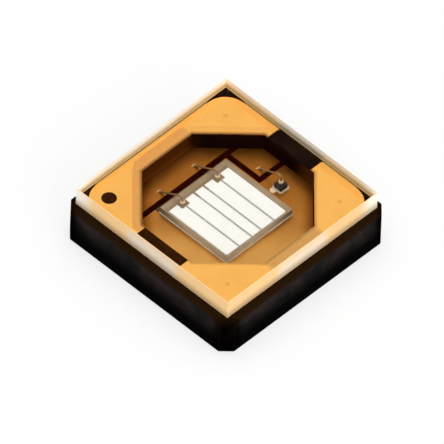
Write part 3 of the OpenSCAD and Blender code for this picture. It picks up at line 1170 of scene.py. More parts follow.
@dataclass(frozen=True)
class GroundGlass(Finish):
    """The window's sawn and ground sides: frosted, with level wheel marks and chipped edges.

    The frost's tint is painted light that stands in for the light it takes up from what lies under the glass:
    gold towards the corners, little gold beside the cavity and bare ceramic at the split.

    Attributes:
        gold: tone over the gold.
        run: tone in the middle of the sides along Y, over a narrow run of gold.
        split: tone in the middle of the sides along X, over the split.
        middle: where the middle of a side turns into its ends.
        tip: tone at the two corners where the white surroundings shine through.
        tip_at: sum of x and y where that sets in and is full.
        upper: tone that mixes in towards the top.
        upper_z: heights between which it does.
        upper_share: how much of it the top takes.
        foot: tone that mixes in at the foot, where the seal starts.
        foot_z: heights between which that ends.
        foot_share: how much of it the foot takes.
        edge: tone of the chipped edges.
        marks: share of the tone that deeper wheel marks keep.
        marks_share: how much of that a mark takes.
        clear: share of the light that goes through, frosted.
        lit: tone of the painted glow that stands in for the light the frost of the sides along Y passes on
            from outside into the plate.
        lit_less: the same for the sides along X.
        low: share of it that is left at the foot, over the gold.
        lowest: the same over the split.
        low_z: heights between which all of it is left again.
        split_x: where the split ends along x.
        glow: strength of that painted glow.
        spill: share of it that the frost throws out again as a painted glow, in its own tone.
    """

    gold: Colour = (0.99, 0.645, 0.29)
    run: Colour = (0.96, 0.78, 0.58)
    split: Colour = (0.88, 0.75, 0.59)
    middle: Pair = (0.4, 0.62)
    tip: Colour = (1.0, 0.93, 0.8)
    tip_at: Pair = (2.8, 3.15)
    upper: Colour = (0.97, 0.6, 0.27)
    upper_z: Pair = (0.86, 1.05)
    upper_share: float = 0.5
    foot: Colour = (0.45, 0.3, 0.16)
    foot_z: Pair = (0.7, 0.9)
    foot_share: float = 0.75
    edge: Colour = (0.98, 0.68, 0.36)
    marks: float = 0.93
    marks_share: float = 0.5
    clear: float = 0.05
    lit: Colour = (1.0, 0.95, 0.86)
    lit_less: Colour = (0.66, 0.61, 0.51)
    low: Colour = (0.4, 0.27, 0.085)
    lowest: Colour = (0.14, 0.11, 0.09)
    low_z: Pair = (0.76, 0.99)
    split_x: Pair = (0.42, 0.52)
    glow: float = 0.65
    spill: float = 0.07

    def tone(self, bench: MaterialBench, place: Socket) -> Socket:
        """Gives the frost's colour at a place.

        Args:
            bench: the material's nodes.
            place: the place in millimetres.

        Returns:
            The colour.
        """
        x, y, z = bench.axes(place)
        tip = bench.spread(bench.size(bench.math("ADD", x, y)), *self.tip_at)
        x, y = bench.size(x), bench.size(y)
        # Painted light: the gold, run and split tones stand in for the light from what lies under the glass.
        plain = bench.blend(bench.math("GREATER_THAN", x, y), self.split, self.run)
        tone = bench.blend(bench.spread(bench.math("MINIMUM", x, y), *self.middle), plain, self.gold)
        tone = bench.blend(bench.spread(z, *self.upper_z, 0.0, self.upper_share), tone, self.upper)
        tone = bench.blend(tip, tone, self.tip)
        return bench.blend(bench.spread(z, *self.foot_z, self.foot_share, 0.0), tone, self.foot)

    def passed(self, bench: MaterialBench, place: Socket) -> Socket:
        """Gives the painted glow that stands in for the light the frost passes on into the plate, plain white
        where metal mirrors it.

        Args:
            bench: the material's nodes.
            place: the place in millimetres.

        Returns:
            The light's colour.
        """
        x, y, z = bench.axes(place)
        x, y = bench.size(x), bench.size(y)
        along_y = bench.math("GREATER_THAN", x, y)
        bare = bench.math("SUBTRACT", bench.spread(x, *self.split_x, 1.0, 0.0), along_y)
        left = bench.blend(bench.spread(z, *self.low_z), bench.blend(bare, self.low, self.lowest), WHITE)
        passed = bench.times(bench.blend(along_y, self.lit_less, self.lit), left)
        mirrored = bench.math("GREATER_THAN", bench.add("LightPath").outputs["Glossy Depth"], 0.5)
        return bench.blend(mirrored, passed, WHITE)

    def shader(self, bench: MaterialBench, place: Socket) -> Socket:
        """Adds the ground glass's nodes.

        Args:
            bench: the material's nodes.
            place: the place in millimetres.

        Returns:
            The shader.
        """
        scratches, marked = bench.saw(place, per_mm=60.0)
        rough, grains = bench.grain(place, per_mm=70.0, smooth=0.55, rough=0.75)
        tone = self.tone(bench, place)
        tone = bench.blend(bench.product(marked, self.marks_share), tone, bench.times(tone, self.marks))
        tone = bench.blend(bench.wear(place, per_mm=40.0), tone, self.edge)
        inner = bench.add("NewGeometry").outputs["Backfacing"]
        parts = {
            "Base Color": tone,
            "Roughness": rough,
            "IOR": GLASS_INDEX,
            "Transmission Weight": self.clear,
            # Painted glow: the emission stands in for light gathered through the frost, on the inner faces
            # and faintly outside.
            "Emission Color": bench.blend(inner, bench.times(tone, self.spill), self.passed(bench, place)),
            "Emission Strength": self.glow,
            "Normal": bench.bump(bench.math("ADD", scratches, grains), depth=0.0012),
        }
        return bench.principled(parts)


@dataclass(frozen=True)
class ClearSeal(Finish):
    """The hardly visible cured film between rim and window.

    Attributes:
        tint: its colour.
        paler: its colour where it is cloudy.
        alpha: its alpha where it is thinnest and where it is thickest.
        clouds: cloud values between which it thickens.
    """

    tint: Colour = (0.8, 0.45, 0.16)
    paler: Colour = (0.9, 0.6, 0.3)
    alpha: Pair = (0.001, 0.004)
    clouds: Pair = (0.35, 0.65)

    def shader(self, bench: MaterialBench, place: Socket) -> Socket:
        """Adds the seal's nodes.

        Args:
            bench: the material's nodes.
            place: the place in millimetres.

        Returns:
            The shader.
        """
        cloud = bench.noise(place, scale=2.2, detail=3.0)
        parts = {
            "Base Color": bench.blend(cloud, self.tint, self.paler),
            "Roughness": 0.3,
            "Specular IOR Level": 0.0,
            "Alpha": bench.spread(cloud, *self.clouds, *self.alpha),
        }
        return bench.principled(parts)


BODY_CERAMIC = FiredCeramic("fired_black_ceramic")
RIM_GOLD = RimGold("rim_gold_plating", (0.965, 0.49, 0.112), (0.935, 0.468, 0.106), 0.16, 0.24)
FLOOR_GOLD = FloorGold("floor_gold_plating", (0.67, 0.33, 0.08), (0.61, 0.292, 0.068), 0.3, 0.46, 0.92)
SOLDER_GOLD = PlatedGold("solder_pad_plating", (0.86, 0.56, 0.2), (0.78, 0.48, 0.16), 0.3, 0.45)
WIRE_GOLD = DrawnWire("bond_wire_drawn", (0.86, 0.66, 0.4), (0.76, 0.56, 0.32), 0.3, 0.45, 0.35, 8.0, 200.0)
WINDOW_FACE = PolishedGlass("window_polish")
WINDOW_SIDE = GroundGlass("window_ground_side")
SEAL_FILM = ClearSeal("window_seal_film")
CHIP_CARRIER = SawnDie("chip_carrier_sawn")
DIODE_SILICON = SawnDie(
    "diode_silicon_sawn",
    pale=(0.03, 0.016, 0.008),
    deep=(0.02, 0.01, 0.005),
    side=(0.035, 0.02, 0.01),
    marks=(0.022, 0.012, 0.006),
    ends=(0.02, 0.01, 0.005),
    top_z=(0.475, 0.479),
)
LIGHT_LAYER = RoughEmitter("light_layer_roughened", (0.97, 0.96, 0.9), (0.94, 0.93, 0.87), 0.35, 0.55, 0.0)
CONTACT_METAL = ContactMetal("contact_satin", (0.31, 0.215, 0.125), (0.26, 0.175, 0.095), 0.4, 0.6, 0.4)
DIODE_PAD_METAL = GrainedLayer("diode_top_satin", (0.06, 0.035, 0.018), (0.04, 0.022, 0.01), 0.4, 0.6, 0.5)
CHIP_BOND = GrainedLayer("chip_bond_dull", (0.78, 0.66, 0.5), (0.68, 0.56, 0.41), 0.4, 0.6, 0.3)
DIODE_BOND = GrainedLayer("diode_bond_bright", (0.6, 0.5, 0.36), (0.5, 0.41, 0.29), 0.4, 0.6, 0.3)
POST_METAL = GrainedLayer("post_fired_paste", (0.22, 0.21, 0.2), (0.15, 0.145, 0.14), 0.5, 0.7)


# Sub-assemblies


@dataclass
class CeramicBody:
    """The fired package: a square block with cut upright corners and an octagonal cavity.

    Attributes:
        corner_leg: cut of the upright corners.
        foot_round: rounding of the lower edge.
        top_round: rounding of the outer upper edge.
        lip_round: rounding of the cavity's upper edge.
        floor_round: fillet where the cavity's walls meet its floor.
        band: width of the worn strip beside an edge.
        upright_wear: wear of the upright edges, where that of the level ones is 1.
    """

    NODE: ClassVar[str] = "ceramic_body"
    corner_leg: float = 0.17
    foot_round: float = 0.01
    top_round: float = 0.018
    lip_round: float = 0.003
    floor_round: float = 0.012
    band: float = 0.03
    upright_wear: float = 0.8

    def build(self) -> None:
        """Makes the body as one surface: from the foot up its sides, over the rim and down into the cavity.

        Each level is the outer outline with an inset, or the cavity's outline with an inset of its own. A
        quarter round gives the levels at each edge.
        """
        box = NodeBox.of(self.NODE)
        foot_in, foot_drop = quarter(self.foot_round)
        top_in, top_drop = quarter(self.top_round)
        lip_in, lip_drop = quarter(self.lip_round, steps=2)
        floor_in, floor_drop = quarter(self.floor_round, steps=3)
        plain = [box.foot + self.foot_round + self.band, box.top - self.top_round - self.band]
        outer = np.concatenate([foot_in[::-1], [0.0, 0.0], top_in, [self.top_round + self.band]])
        outer_z = np.concatenate([box.foot + foot_drop[::-1], plain, box.top - top_drop, [box.top]])
        inner = np.concatenate([[-self.lip_round - self.band], -lip_in[::-1], floor_in])
        inner_z = np.concatenate([[box.top], box.top - lip_drop[::-1], CAVITY.floor + floor_drop])
        rows = [eight_sided(box.half, self.corner_leg, i, band=self.band) for i in outer]
        rows += [CAVITY.outline(i, band=self.band) for i in inner]
        made = stacked(np.stack(rows), np.concatenate([outer_z, inner_z]))
        made.edge = self.wear(len(foot_in), len(top_in), len(inner)).reshape(-1)
        made.put("fired_body", self.NODE, Slot.CERAMIC, Shading.CREASED, BODY_CERAMIC)

    def wear(self, foot: int, top: int, inner: int) -> Array:
        """Marks the worn edges.

        Args:
            foot: levels in the lower rounding.
            top: levels in the upper rounding.
            inner: levels of the cavity.

        Returns:
            Levels x points, 1 on the level outer edges and less on the upright ones.
        """
        upright = np.tile([0.0, *np.ones(CORNER_STEPS + 1), 0.0], 8)
        side = np.concatenate([np.ones(foot), [0.0, 0.0], np.ones(top), [0.0]])
        outer = np.maximum(side[:, None], self.upright_wear * upright)
        outer[-1] = 0.0
        return np.concatenate([outer, np.zeros((inner, len(upright)))])


@dataclass
class RimMetal:
    """The two halves of the gold film on the rim, with the polarity mark's hole and three shallow dimples.

    Attributes:
        half: half width of the film.
        corner_r: rounding of its outer corners.
        mark_at: place of the mark along x and y.
        mark_r: radius of the mark's hole.
        mark_rings: rings about it, as shares of that radius.
        dimple_r: radius of a dimple.
        dimple_rings: first and last ring about its middle, as shares of that radius, and their number.
        dimple_depth: its depth.
        rings: rings from there to a corner's outline.
        end_steps: steps across the film where a corner ends.
        side_steps: steps along a corner's straight outer edges.
        bend_steps: steps round its outer corner.
        slant_steps: steps along the cavity's slanted edge.
        run_steps: steps along half a straight run.
    """

    half: float = 1.58
    corner_r: float = 0.36
    mark_at: float = 1.26
    mark_r: float = 0.12
    mark_rings: Pair = (1.0, 1.2)
    dimple_r: float = 0.05
    dimple_rings: tuple[float, float, int] = (0.1, 1.3, 9)
    dimple_depth: float = 0.006
    rings: int = 8
    end_steps: int = 4
    side_steps: int = 16
    bend_steps: int = 24
    slant_steps: int = 26
    run_steps: int = 6

    def build(self) -> None:
        """Makes both halves, each from its two quarters."""
        for side, node in ((-1, "cathode_rim_metal"), (1, "anode_rim_metal")):
            box = NodeBox.of(node)
            patches = []
            for end in (-1, 1):
                made = self.quarter_sheet(marked=side < 0 and end < 0, shift=end * CAVITY.middle)
                patches += [self.turned(patch, side, end) for patch in made]
            sheet = joined(patches)
            sheet.points[:, 2] += box.top
            film = sheet.thickened(box.top - box.foot)
            film.put(node.replace("rim_metal", "film"), node, Slot.RIM_GOLD, Shading.CREASED, RIM_GOLD)

    @staticmethod
    def turned(patch: Patch, side: int, end: int) -> Patch:
        """Carries a patch of the +X +Y quarter into another quarter.

        Args:
            patch: its points and faces.
            side: 1 or -1, the quarter's side along x.
            end: 1 or -1, its side along y.

        Returns:
            The points times both signs, with the faces turned over where just one sign is negative.
        """
        points, faces = patch
        return points * (side, end, 1.0), faces if side * end > 0 else turned_over(faces)

    def corner_outline(self, shift: float) -> Array:
        """Walks once round the corner of the +X +Y quarter, counter-clockwise.

        The walk goes out along the straight run's end, up the outer edge, round the outer corner, back along
        the other outer edge, in along the short strip's end and down the cavity's slanted edge.

        Args:
            shift: how much further out than its half width the cavity's end lies.

        Returns:
            The points.
        """
        hx, hy = CAVITY.half[0], CAVITY.half[1] + shift
        near, far = hy - CAVITY.leg, hx - CAVITY.leg
        turn = self.half - self.corner_r
        legs = [
            np.linspace((hx, near), (self.half, near), self.end_steps + 1),
            np.linspace((self.half, near), (self.half, turn), self.side_steps + 1),
            arc((turn, turn), self.corner_r, np.linspace(0.0, np.pi / 2, self.bend_steps + 1)),
            np.linspace((turn, self.half), (far, self.half), self.side_steps + 1),
            np.linspace((far, self.half), (far, hy), self.end_steps + 1),
            np.linspace((far, hy), (hx, near), self.slant_steps + 1),
        ]
        return np.concatenate([leg[:-1] for leg in legs])

    def quarter_sheet(self, marked: bool, shift: float) -> list[Patch]:
        """Makes the film's +X +Y quarter at height 0 as three patches.

        The corner is a fan of rings about its mark or dimple: ring k is (1 - w) r (cos a, sin a) + w (o - m),
        where m is the middle, o the outline's point and a its direction. First r grows, then w from 0 to 1.
        A dimple lowers a ring of radius r by depth (1 - (r / R)^2)^2. The run and the strip are plain grids.

        Args:
            marked: whether this corner has the mark's hole, and otherwise a dimple.
            shift: how much further out than its half width the cavity's end lies.

        Returns:
            Points and faces of the corner, the run and the strip.
        """
        outline = self.corner_outline(shift)
        middle = self.mark_at if marked else DIMPLE_AT
        away = outline - middle
        hole, dip = self.mark_r * np.array(self.mark_rings), self.dimple_r * np.linspace(*self.dimple_rings)
        inner = hole if marked else dip
        radius = np.concatenate([inner, np.full(self.rings, inner[-1])])
        weight = np.concatenate([np.zeros(len(inner)), np.linspace(0.0, 1.0, self.rings + 1)[1:]])
        flat = middle + ((1 - weight) * radius)[:, None, None] * unit(away) + weight[:, None, None] * away
        sunk = np.clip(1 - (radius / self.dimple_r) ** 2, 0.0, None) ** 2 * (weight == 0) * (not marked)
        faces = grid_faces(len(radius), len(outline))
        if not marked:
            faces.append(tuple(range(len(outline))))
        hx, hy = CAVITY.half[0], CAVITY.half[1] + shift
        across = self.end_steps + 1
        run_y = np.linspace(0.0, hy - CAVITY.leg, self.run_steps + 1)
        run = self.level_grid(np.linspace(hx, self.half, across), run_y)
        strip = self.level_grid(np.array([SPLIT, hx - CAVITY.leg]), np.linspace(hy, self.half, across))
        return [(raised(flat, -self.dimple_depth * sunk), faces), run, strip]

    @staticmethod
    def level_grid(xs: Array, ys: Array) -> Patch:
        """Makes a level grid of points (x, y, 0) with faces that look up.

        Args:
            xs: its columns.
            ys: its rows.

        Returns:
            Points and faces.
        """
        x, y = np.meshgrid(xs, ys)
        points = np.stack([x, y, np.zeros_like(x)], axis=-1).reshape(-1, 3)
        return points, grid_faces(len(ys), len(xs), looped=False)


@dataclass
class Window:
    """The clear plate with polished faces and ground sides, and the thin film that seals it to the rim.

    Attributes:
        edge: width of the small bevels.
        film_gap: clearance between the film and the gold and glass beside it.
        film_in: how far the film ends inside the plate's sides.
        film_cut: cut of the film's outer corners.
        film_soft: how far from its corners their rounding starts.
        film_band: width of the strip beside the rounding.
    """

    PLATE: ClassVar[str] = "glass_window"
    FILM: ClassVar[str] = "window_seal"
    edge: float = 0.008
    film_gap: float = 0.002
    film_in: float = 0.006
    film_cut: float = 0.014
    film_soft: float = 0.003
    film_band: float = 0.02

    def build(self) -> None:
        """Makes the plate and its film."""
        self.plate()
        self.film()

    def plate(self) -> None:
        """Makes the plate as a stack of squares: bevel, ground sides and bevel, with polished ends."""
        box, e = NodeBox.of(self.PLATE), self.edge
        insets = np.array([e, 0.0, 0.0, 0.0, 0.0, e])
        heights = [box.foot, box.foot + e, box.foot + 3 * e, box.top - 3 * e, box.top - e, box.top]
        made = stacked((box.half - insets[:, None])[:, None] * SQUARE, heights)
        made.edge = np.repeat([1.0, 1.0, 0.0, 0.0, 1.0, 1.0], len(SQUARE))
        made.finish = np.ones(len(made.faces))
        made.finish[-2:] = 0
        made.put("window_plate", self.PLATE, Slot.GLASS, Shading.FLAT, WINDOW_FACE, WINDOW_SIDE)

    def film(self) -> None:
        """Makes the seal as a ring of four levels between the plate's outline and the cavity's."""
        glass, gold = NodeBox.of(self.PLATE), NodeBox.of("cathode_rim_metal")
        low, high = gold.top + self.film_gap, glass.foot - self.film_gap
        shape = {"soft": self.film_soft, "band": self.film_band}
        out = eight_sided(glass.half, self.film_cut, self.film_in, **shape)
        hole = CAVITY.outline(-self.film_in, **shape)
        made = stacked(np.stack([out, out, hole, hole]), [low, high, high, low], ends=False)
        made.put("seal_film", self.FILM, Slot.SEAL, Shading.FLAT, SEAL_FILM)


@dataclass
class Die:
    """A sawn chip on its bond: a block with small broken edges, and a fillet of bond metal round its foot.

    Attributes:
        name: start of its pieces' names.
        die_node: the CAD node of the chip.
        bond_node: the CAD node of the bond.
        finish: the chip's finish.
        bond: the bond's finish.
        slot: the chip's slot.
        edge: width of its broken edges.
        flash: least width of the fillet.
        curl: power of the fillet's curve.
        levels: levels in it.
    """

    name: str
    die_node: str
    bond_node: str
    finish: Finish
    bond: Finish
    slot: Slot
    edge: float = 0.004
    flash: float = 0.004
    curl: float = 1.7
    levels: int = 7

    def build(self) -> None:
        """Makes the chip as a stack of four levels, of which the last is drawn in, and then its fillet."""
        box, e = NodeBox.of(self.die_node), self.edge
        rows = [eight_sided(box.half, 2 * e, i, soft=e / 2, band=e) for i in (0.0, 0.0, 0.0, e)]
        made = stacked(np.stack(rows) + box.middle, [box.foot, box.foot + e, box.top - e, box.top])
        made.put(self.name + "_die", self.die_node, self.slot, Shading.FLAT, self.finish)
        self.fillet(box)

    def fillet(self, die: NodeBox) -> None:
        """Makes the bond, whose edge climbs the chip's foot.

        At a share t of its height it stands out by w (1 - t)^curl.

        Args:
            die: the chip's box, beyond which the bond's own box reaches by w.
        """
        box, e = NodeBox.of(self.bond_node), self.edge
        t = np.linspace(0.0, 1.0, self.levels)
        outs = max(box.high[0] - die.high[0], self.flash) * (1 - t) ** self.curl
        rows = [eight_sided(die.half, 3 * e, -out, soft=e, band=e) for out in outs]
        made = stacked(np.stack(rows) + box.middle, box.foot + (box.top - box.foot) * t)
        made.put(self.name + "_fillet", self.bond_node, Slot.BOND, Shading.CREASED, self.bond)


@dataclass
class LightLayer:
    """The bright layer on the chip, a low mesa with sloping sides.

    Attributes:
        slope: how far its top lies inside its foot.
        cut: cut of its corners.
        soft: how far from its corners their rounding starts.
        band: width of the strip beside the rounding.
        levels: its levels, as shares of the slope.
        curl: power of the slope's curve.
    """

    NODE: ClassVar[str] = "light_layer"
    slope: float = 0.006
    cut: float = 0.02
    soft: float = 0.006
    band: float = 0.01
    levels: tuple[float, ...] = (0.0, 0.75, 1.0)
    curl: float = 0.8

    def build(self) -> None:
        """Makes the mesa as a stack: at a share t of the slope it has t^curl of its height."""
        box, t = NodeBox.of(self.NODE), np.array(self.levels)
        shape = {"soft": self.soft, "band": self.band}
        rows = [eight_sided(box.half, self.cut, inset, **shape) for inset in self.slope * t]
        made = stacked(np.stack(rows) + box.middle, box.foot + (box.top - box.foot) * t**self.curl)
        made.put("light_mesa", self.NODE, Slot.EMITTER, Shading.FLAT, LIGHT_LAYER)


@dataclass
class BondWire:
    """A bond wire: ball, rise, bend, straight fall, second bend and fanned-out stitch, in one upright plane.

    Attributes:
        name: the piece's name.
        node: the CAD node that it stands for.
        start: middle of the ball along x and y.
        end: middle of the stitch along x and y.
        seat: height that the ball sits on.
        pad: height of the pad under the stitch.
        wire_r: radius of the wire.
        ball_r: radius of the ball.
        ball_h: height of the squashed ball.
        neck_h: height of the neck over the ball.
        neck_share: width of the neck's foot, as a share of the ball's flat.
        top: highest point of the loop.
        bend_r: radius of both bends, at the middle of the wire.
        fan_r: half width of the stitch.
        fan_t: thickness at the stitch's thin end.
        fan_share: share of the stitch over which it widens.
        tip_w: half width that is left at its tip.
        tip_share: share of the thickness that is left there.
        pressed: how much wider than the wire a ring is that counts as ball or stitch.
        ball_rings: rings in the ball.
        neck_rings: rings in the neck.
        rise_rings: rings in the rise, with the last of the neck and the first of the bend.
        bend_rings: rings in the first bend.
        drop_rings: rings in the fall, with one of each bend.
        land_rings: rings in the second bend.
        fan_rings: rings in the stitch, with the last of that bend.
    """

    name: str
    node: str
    start: Pair
    end: Pair
    seat: float
    pad: float
    wire_r: float = 0.015
    ball_r: float = 0.0425
    ball_h: float = 0.04
    neck_h: float = 0.02
    neck_share: float = 0.55
    top: float = 0.65
    bend_r: float = 0.045
    fan_r: float = 0.046
    fan_t: float = 0.008
    fan_share: float = 0.55
    tip_w: float = 0.0001
    tip_share: float = 0.25
    pressed: float = 1.2
    ball_rings: int = 11
    neck_rings: int = 7
    rise_rings: int = 5
    bend_rings: int = 22
    drop_rings: int = 14
    land_rings: int = 14
    fan_rings: int = 24

    def upright(self, top: float) -> tuple[Array, Array]:
        """Works out the ball, a sphere cut by two flats, the neck that narrows above it, and the rise.

        Args:
            top: height where the rise ends and the first bend starts.

        Returns:
            Height and radius of each ring.
        """
        level = np.linspace(-self.ball_h / 2, self.ball_h / 2, self.ball_rings)
        ball = np.sqrt(self.ball_r**2 - level**2)
        t = np.linspace(0.0, 1.0, self.neck_rings)
        neck_z = self.seat + self.ball_h + self.neck_h * t
        neck = self.wire_r + (self.neck_share * ball[-1] - self.wire_r) * (1 - t) ** 2
        rise_z = np.linspace(neck_z[-1], top, self.rise_rings)[1:-1]
        heights = np.concatenate([self.seat + self.ball_h / 2 + level, neck_z, rise_z])
        return heights, np.concatenate([ball, neck, np.full(len(rise_z), self.wire_r)])

    def stitch(self) -> tuple[Array, Array, Array]:
        """Works out the stitch: the wire spreads and thins out by a smooth step and ends in a half ellipse.

        Returns:
            How far along each ring lies, its half width and its half height.
        """
        u = np.linspace(0.0, 1.0, self.fan_rings)[1:]
        wide = np.clip(u / self.fan_share, 0.0, 1.0)
        wide = wide * wide * (3 - 2 * wide)
        past = np.clip(u - self.fan_share, 0.0, None) / (1 - self.fan_share)
        tail = np.sqrt(np.clip(1 - past**2, 0.0, None))
        side = (self.wire_r + (self.fan_r - self.wire_r) * wide) * tail + self.tip_w
        lift = (self.wire_r + (self.fan_t / 2 - self.wire_r) * wide) * np.maximum(tail, self.tip_share)
        return self.fan_r * u, side, lift

    def route(self) -> tuple[Array, Array, Array]:
        """Works out the wire in its own plane, from the ball to the stitch, whose underside lies on the pad.

        The first bend turns about a middle beside the rise, the second about one above the stitch, and the
        fall is the line that touches both circles.

        Returns:
            Path along and up, half width and half height of each ring.
        """
        span = math.dist(self.start, self.end)
        first = np.array([self.bend_r, self.top - self.wire_r - self.bend_r])
        second = np.array([span, self.pad + self.wire_r + self.bend_r])
        gap = second - first
        fall = math.asin(2 * self.bend_r / np.linalg.norm(gap)) - math.atan2(gap[1], gap[0])
        heights, radii = self.upright(first[1])
        bend = arc(first, self.bend_r, np.linspace(np.pi, np.pi / 2 - fall, self.bend_rings))
        land = arc(second, self.bend_r, np.linspace(-np.pi / 2 - fall, -np.pi / 2, self.land_rings))
        drop = np.linspace(bend[-1], land[0], self.drop_rings)[1:-1]
        along, side, lift = self.stitch()
        rise = np.stack([np.zeros_like(heights), heights], axis=1)
        fan = np.stack([span + along, self.pad + lift], axis=1)
        plain = np.concatenate([radii, np.full(len(bend) + len(drop) + len(land), self.wire_r)])
        path = np.concatenate([rise, bend, drop, land, fan])
        return path, np.concatenate([plain, side]), np.concatenate([plain, lift])

    def build(self) -> None:
        """Carries the wire's section along its route, and marks the ball and the stitch."""
        path, side, lift = self.route()
        ahead = unit(np.subtract(self.end, self.start))
        aside = np.array([-ahead[1], ahead[0], 0.0])
        flat = np.array(self.start) + path[:, :1] * ahead
        made = swept(np.concatenate([flat, path[:, 1:]], axis=1), side, lift, aside)
        # The mark sets the ball and the stitch, with its painted highlight, apart from the loop's painted
        # dark reflection.
        made.edge = np.repeat(side > self.pressed * self.wire_r, len(made.points) // len(path))
        made.put(self.name, self.node, Slot.WIRE, Shading.ROUND, WIRE_GOLD)


@dataclass
class PlainFilms:
    """The level films and posts that keep their CAD meshes.

    Attributes:
        finishes: the finish of each node.
    """

    finishes: dict[str, Finish] = field(
        default_factory=lambda: {
            "wire_pad": FLOOR_GOLD,
            "die_pad": FLOOR_GOLD,
            "diode_pad": FLOOR_GOLD,
            "chip_contact": CONTACT_METAL,
            "diode_top_pad": DIODE_PAD_METAL,
            "cathode_solder_pad": SOLDER_GOLD,
            "thermal_solder_pad": SOLDER_GOLD,
            "anode_solder_pad": SOLDER_GOLD,
            "cathode_posts": POST_METAL,
            "anode_posts": POST_METAL,
        }
    )

    def build(self) -> None:
        """Gives every film and post its finish, in all of its slots."""
        for node, finish in self.finishes.items():
            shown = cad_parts[node]
            if not shown.material_slots:
                shown.data.materials.append(finish.material())
            for held in shown.material_slots:
                held.material = finish.material()
            LOG.info("node %s keeps its mesh, finish %s", node, finish.name)


# Studio


def seen_directly(bench: NodeBench) -> Socket:
    """Gives 1 for rays from the camera, and for what metal mirrors and glass shows, and 0 for soft light.

    Soft light that a dull surface gathers through the window counts as soft light too.

    Args:
        bench: the nodes to add to.

    Returns:
        The mask.
    """
    path = bench.add("LightPath").outputs
    sharp = bench.math("LESS_THAN", path["Diffuse Depth"], 0.5)
    shown = bench.product(path["Is Transmission Ray"], sharp)
    return bench.most(path["Is Camera Ray"], path["Is Glossy Ray"], shown)


@dataclass(frozen=True)
class PaleFloor(Finish):
    """The studio's pale floor.

    Attributes:
        pale: its tone.
        deep: tone of hardly visible patches.
        white: share of plain white that the camera, metal and glass see in it, over its own light and shadow.
    """

    pale: Colour = (0.98, 0.98, 0.98)
    deep: Colour = (0.97, 0.97, 0.97)
    white: float = 0.7

    def shader(self, bench: MaterialBench, place: Socket) -> Socket:
        """Adds the floor's nodes.

        Args:
            bench: the material's nodes.
            place: the place in millimetres.

        Returns:
            The shader.
        """
        tone = bench.patches(place, per_mm=0.05, pale=self.pale, deep=self.deep)
        plain = bench.principled({"Base Color": tone, "Roughness": 0.9, "Specular IOR Level": 0.0})
        white = bench.add("Emission", {"Color": WHITE, "Strength": 1.0}).outputs[0]
        return bench.mixed(bench.product(seen_directly(bench), self.white), plain, white)


@dataclass
class Lamp:
    """A square soft lamp.

    Attributes:
        name: its name.
        place: where it stands.
        side: length of its side.
        level: its brightness, where 1 is white.
    """

    name: str
    place: tuple[float, float, float]
    side: float
    level: float

    def build(self) -> None:
        """Hangs the lamp, turned to the part. Its power is four times its area times its brightness.

        Its light reaches what lies under the window straight through the glass, so bent rays
        don't meet it again.
        """
        light = bpy.data.lights.new(self.name, "AREA")
        light.shape, light.size = "SQUARE", self.side * MILLIMETRE
        light.energy = 4.0 * light.size**2 * self.level
        lamp = bpy.data.objects.new(self.name, light)
        lamp.location = Vector(self.place) * MILLIMETRE
        lamp.rotation_mode = "QUATERNION"
        lamp.rotation_quaternion = (-lamp.location).to_track_quat("-Z", "Y")
        lamp.visible_transmission = False
        bpy.context.scene.collection.objects.link(lamp)


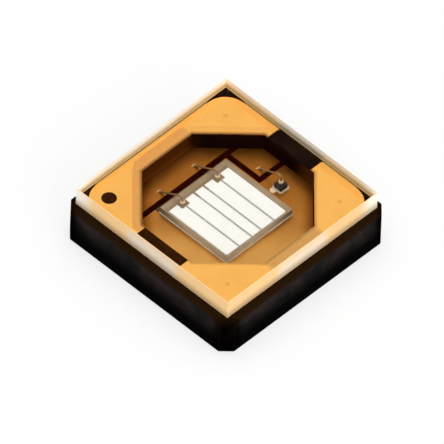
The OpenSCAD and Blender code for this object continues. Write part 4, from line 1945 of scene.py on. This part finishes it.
@dataclass
class Studio:
    """Floor, white surroundings, soft lamps and the photograph's camera.

    Attributes:
        floor_half: half width of the floor.
        floor_drop: how far it lies under the part.
        soft_level: brightness of the surroundings for soft light.
        azimuth: the camera's turn about the part, in degrees.
        elevation: its height over the horizon, in degrees.
        roll: its turn about its own axis, in degrees.
        scale: pixels to a millimetre.
        picture: pixels along the picture's side.
        origin_at: pixel that shows the part's origin.
        distance: how far the camera stands off.
        lamps: the lamps.
    """

    floor_half: float = 120.0
    floor_drop: float = 0.0005
    soft_level: float = 0.72
    azimuth: float = 42.9
    elevation: float = 48.25
    roll: float = 2.35
    scale: float = 66.0
    picture: float = 444.0
    origin_at: Pair = (225.15, 236.5)
    distance: float = 40.0
    lamps: tuple[Lamp, ...] = (
        Lamp("overhead_lamp", (-4.0, 2.0, 32.0), 26.0, 1.15),
        Lamp("front_lamp", (29.0, -7.0, 14.0), 26.0, 1.18),
    )

    def build(self) -> None:
        """Sets up the whole studio."""
        self.floor()
        self.surroundings()
        self.camera()
        for lamp in self.lamps:
            lamp.build()
        bpy.context.scene.view_settings.view_transform = "Standard"

    def floor(self) -> None:
        """Lays the floor, one level face under the part."""
        h, z = self.floor_half, -self.floor_drop
        points = np.array([(-h, -h, z), (h, -h, z), (h, h, z), (-h, h, z)])
        mesh = bpy.data.meshes.new("studio_floor")
        mesh.from_pydata((points * MILLIMETRE).tolist(), [], [(0, 1, 2, 3)])
        mesh.materials.append(PaleFloor("studio_floor_pale").material())
        floor = bpy.data.objects.new("studio_floor", mesh)
        bpy.context.scene.collection.objects.link(floor)

    def surroundings(self) -> None:
        """Makes the world white to the camera, metal and glass, and a little less bright as soft light."""
        world = bpy.data.worlds.new("white_surroundings")
        world.use_nodes = True
        world.node_tree.nodes.clear()
        bench = NodeBench(world.node_tree)
        level = bench.math("MULTIPLY_ADD", seen_directly(bench), 1.0 - self.soft_level, self.soft_level)
        sky = bench.add("Background", {"Color": WHITE, "Strength": level})
        bench.add("OutputWorld", {"Surface": sky.outputs[0]})
        bpy.context.scene.world = world

    def camera(self) -> None:
        """Stands the camera at the photograph's viewing angle.

        With azimuth a and elevation e it looks along (-sin a cos e, cos a cos e, -sin e). Its frame is turned
        by the roll and moved so that the part's origin falls on its pixel.
        """
        a, e, r = (math.radians(v) for v in (self.azimuth, self.elevation, self.roll))
        look = Vector((-math.sin(a) * math.cos(e), math.cos(a) * math.cos(e), -math.sin(e)))
        level = Vector((math.cos(a), math.sin(a), 0.0))
        upright = level.cross(look)
        right = level * math.cos(r) + upright * math.sin(r)
        up = upright * math.cos(r) - level * math.sin(r)
        off_x, off_y = ((self.picture / 2 - p) / self.scale for p in self.origin_at)
        aim = right * off_x - up * off_y
        lens = bpy.data.cameras.new("photo_camera")
        lens.type = "ORTHO"
        lens.ortho_scale = self.picture / self.scale * MILLIMETRE
        lens.clip_start, lens.clip_end = MILLIMETRE, 1.0
        camera = bpy.data.objects.new("photo_camera", lens)
        turn = Matrix((right, up, -look)).transposed()
        camera.matrix_world = Matrix.Translation((aim - look * self.distance) * MILLIMETRE) @ turn.to_4x4()
        bpy.context.scene.collection.objects.link(camera)
        bpy.context.scene.camera = camera


def main() -> None:
    logging.basicConfig(level=logging.INFO, format="%(name)s: %(message)s")
    contact, diode, pad = (NodeBox.of(node).top for node in ("chip_contact", "diode_top_pad", "wire_pad"))
    CeramicBody().build()
    RimMetal().build()
    PlainFilms().build()
    Die("chip", "led_chip", "chip_bond", CHIP_CARRIER, CHIP_BOND, Slot.CARRIER).build()
    LightLayer().build()
    Die(
        "diode", "protection_diode", "diode_bond", DIODE_SILICON, DIODE_BOND, Slot.SILICON, edge=0.003
    ).build()
    BondWire("front_wire", "front_bond_wire", (-0.525, -0.4145), (-1.0, -0.4145), contact, pad).build()
    BondWire("rear_wire", "rear_bond_wire", (-0.525, 0.3395), (-1.0, 0.3395), contact, pad).build()
    BondWire("diode_loop", "diode_wire", (0.205, 0.97), (-0.28, 1.005), diode, pad).build()
    Window().build()
    Studio().build()


if __name__ == "__main__":
    main()
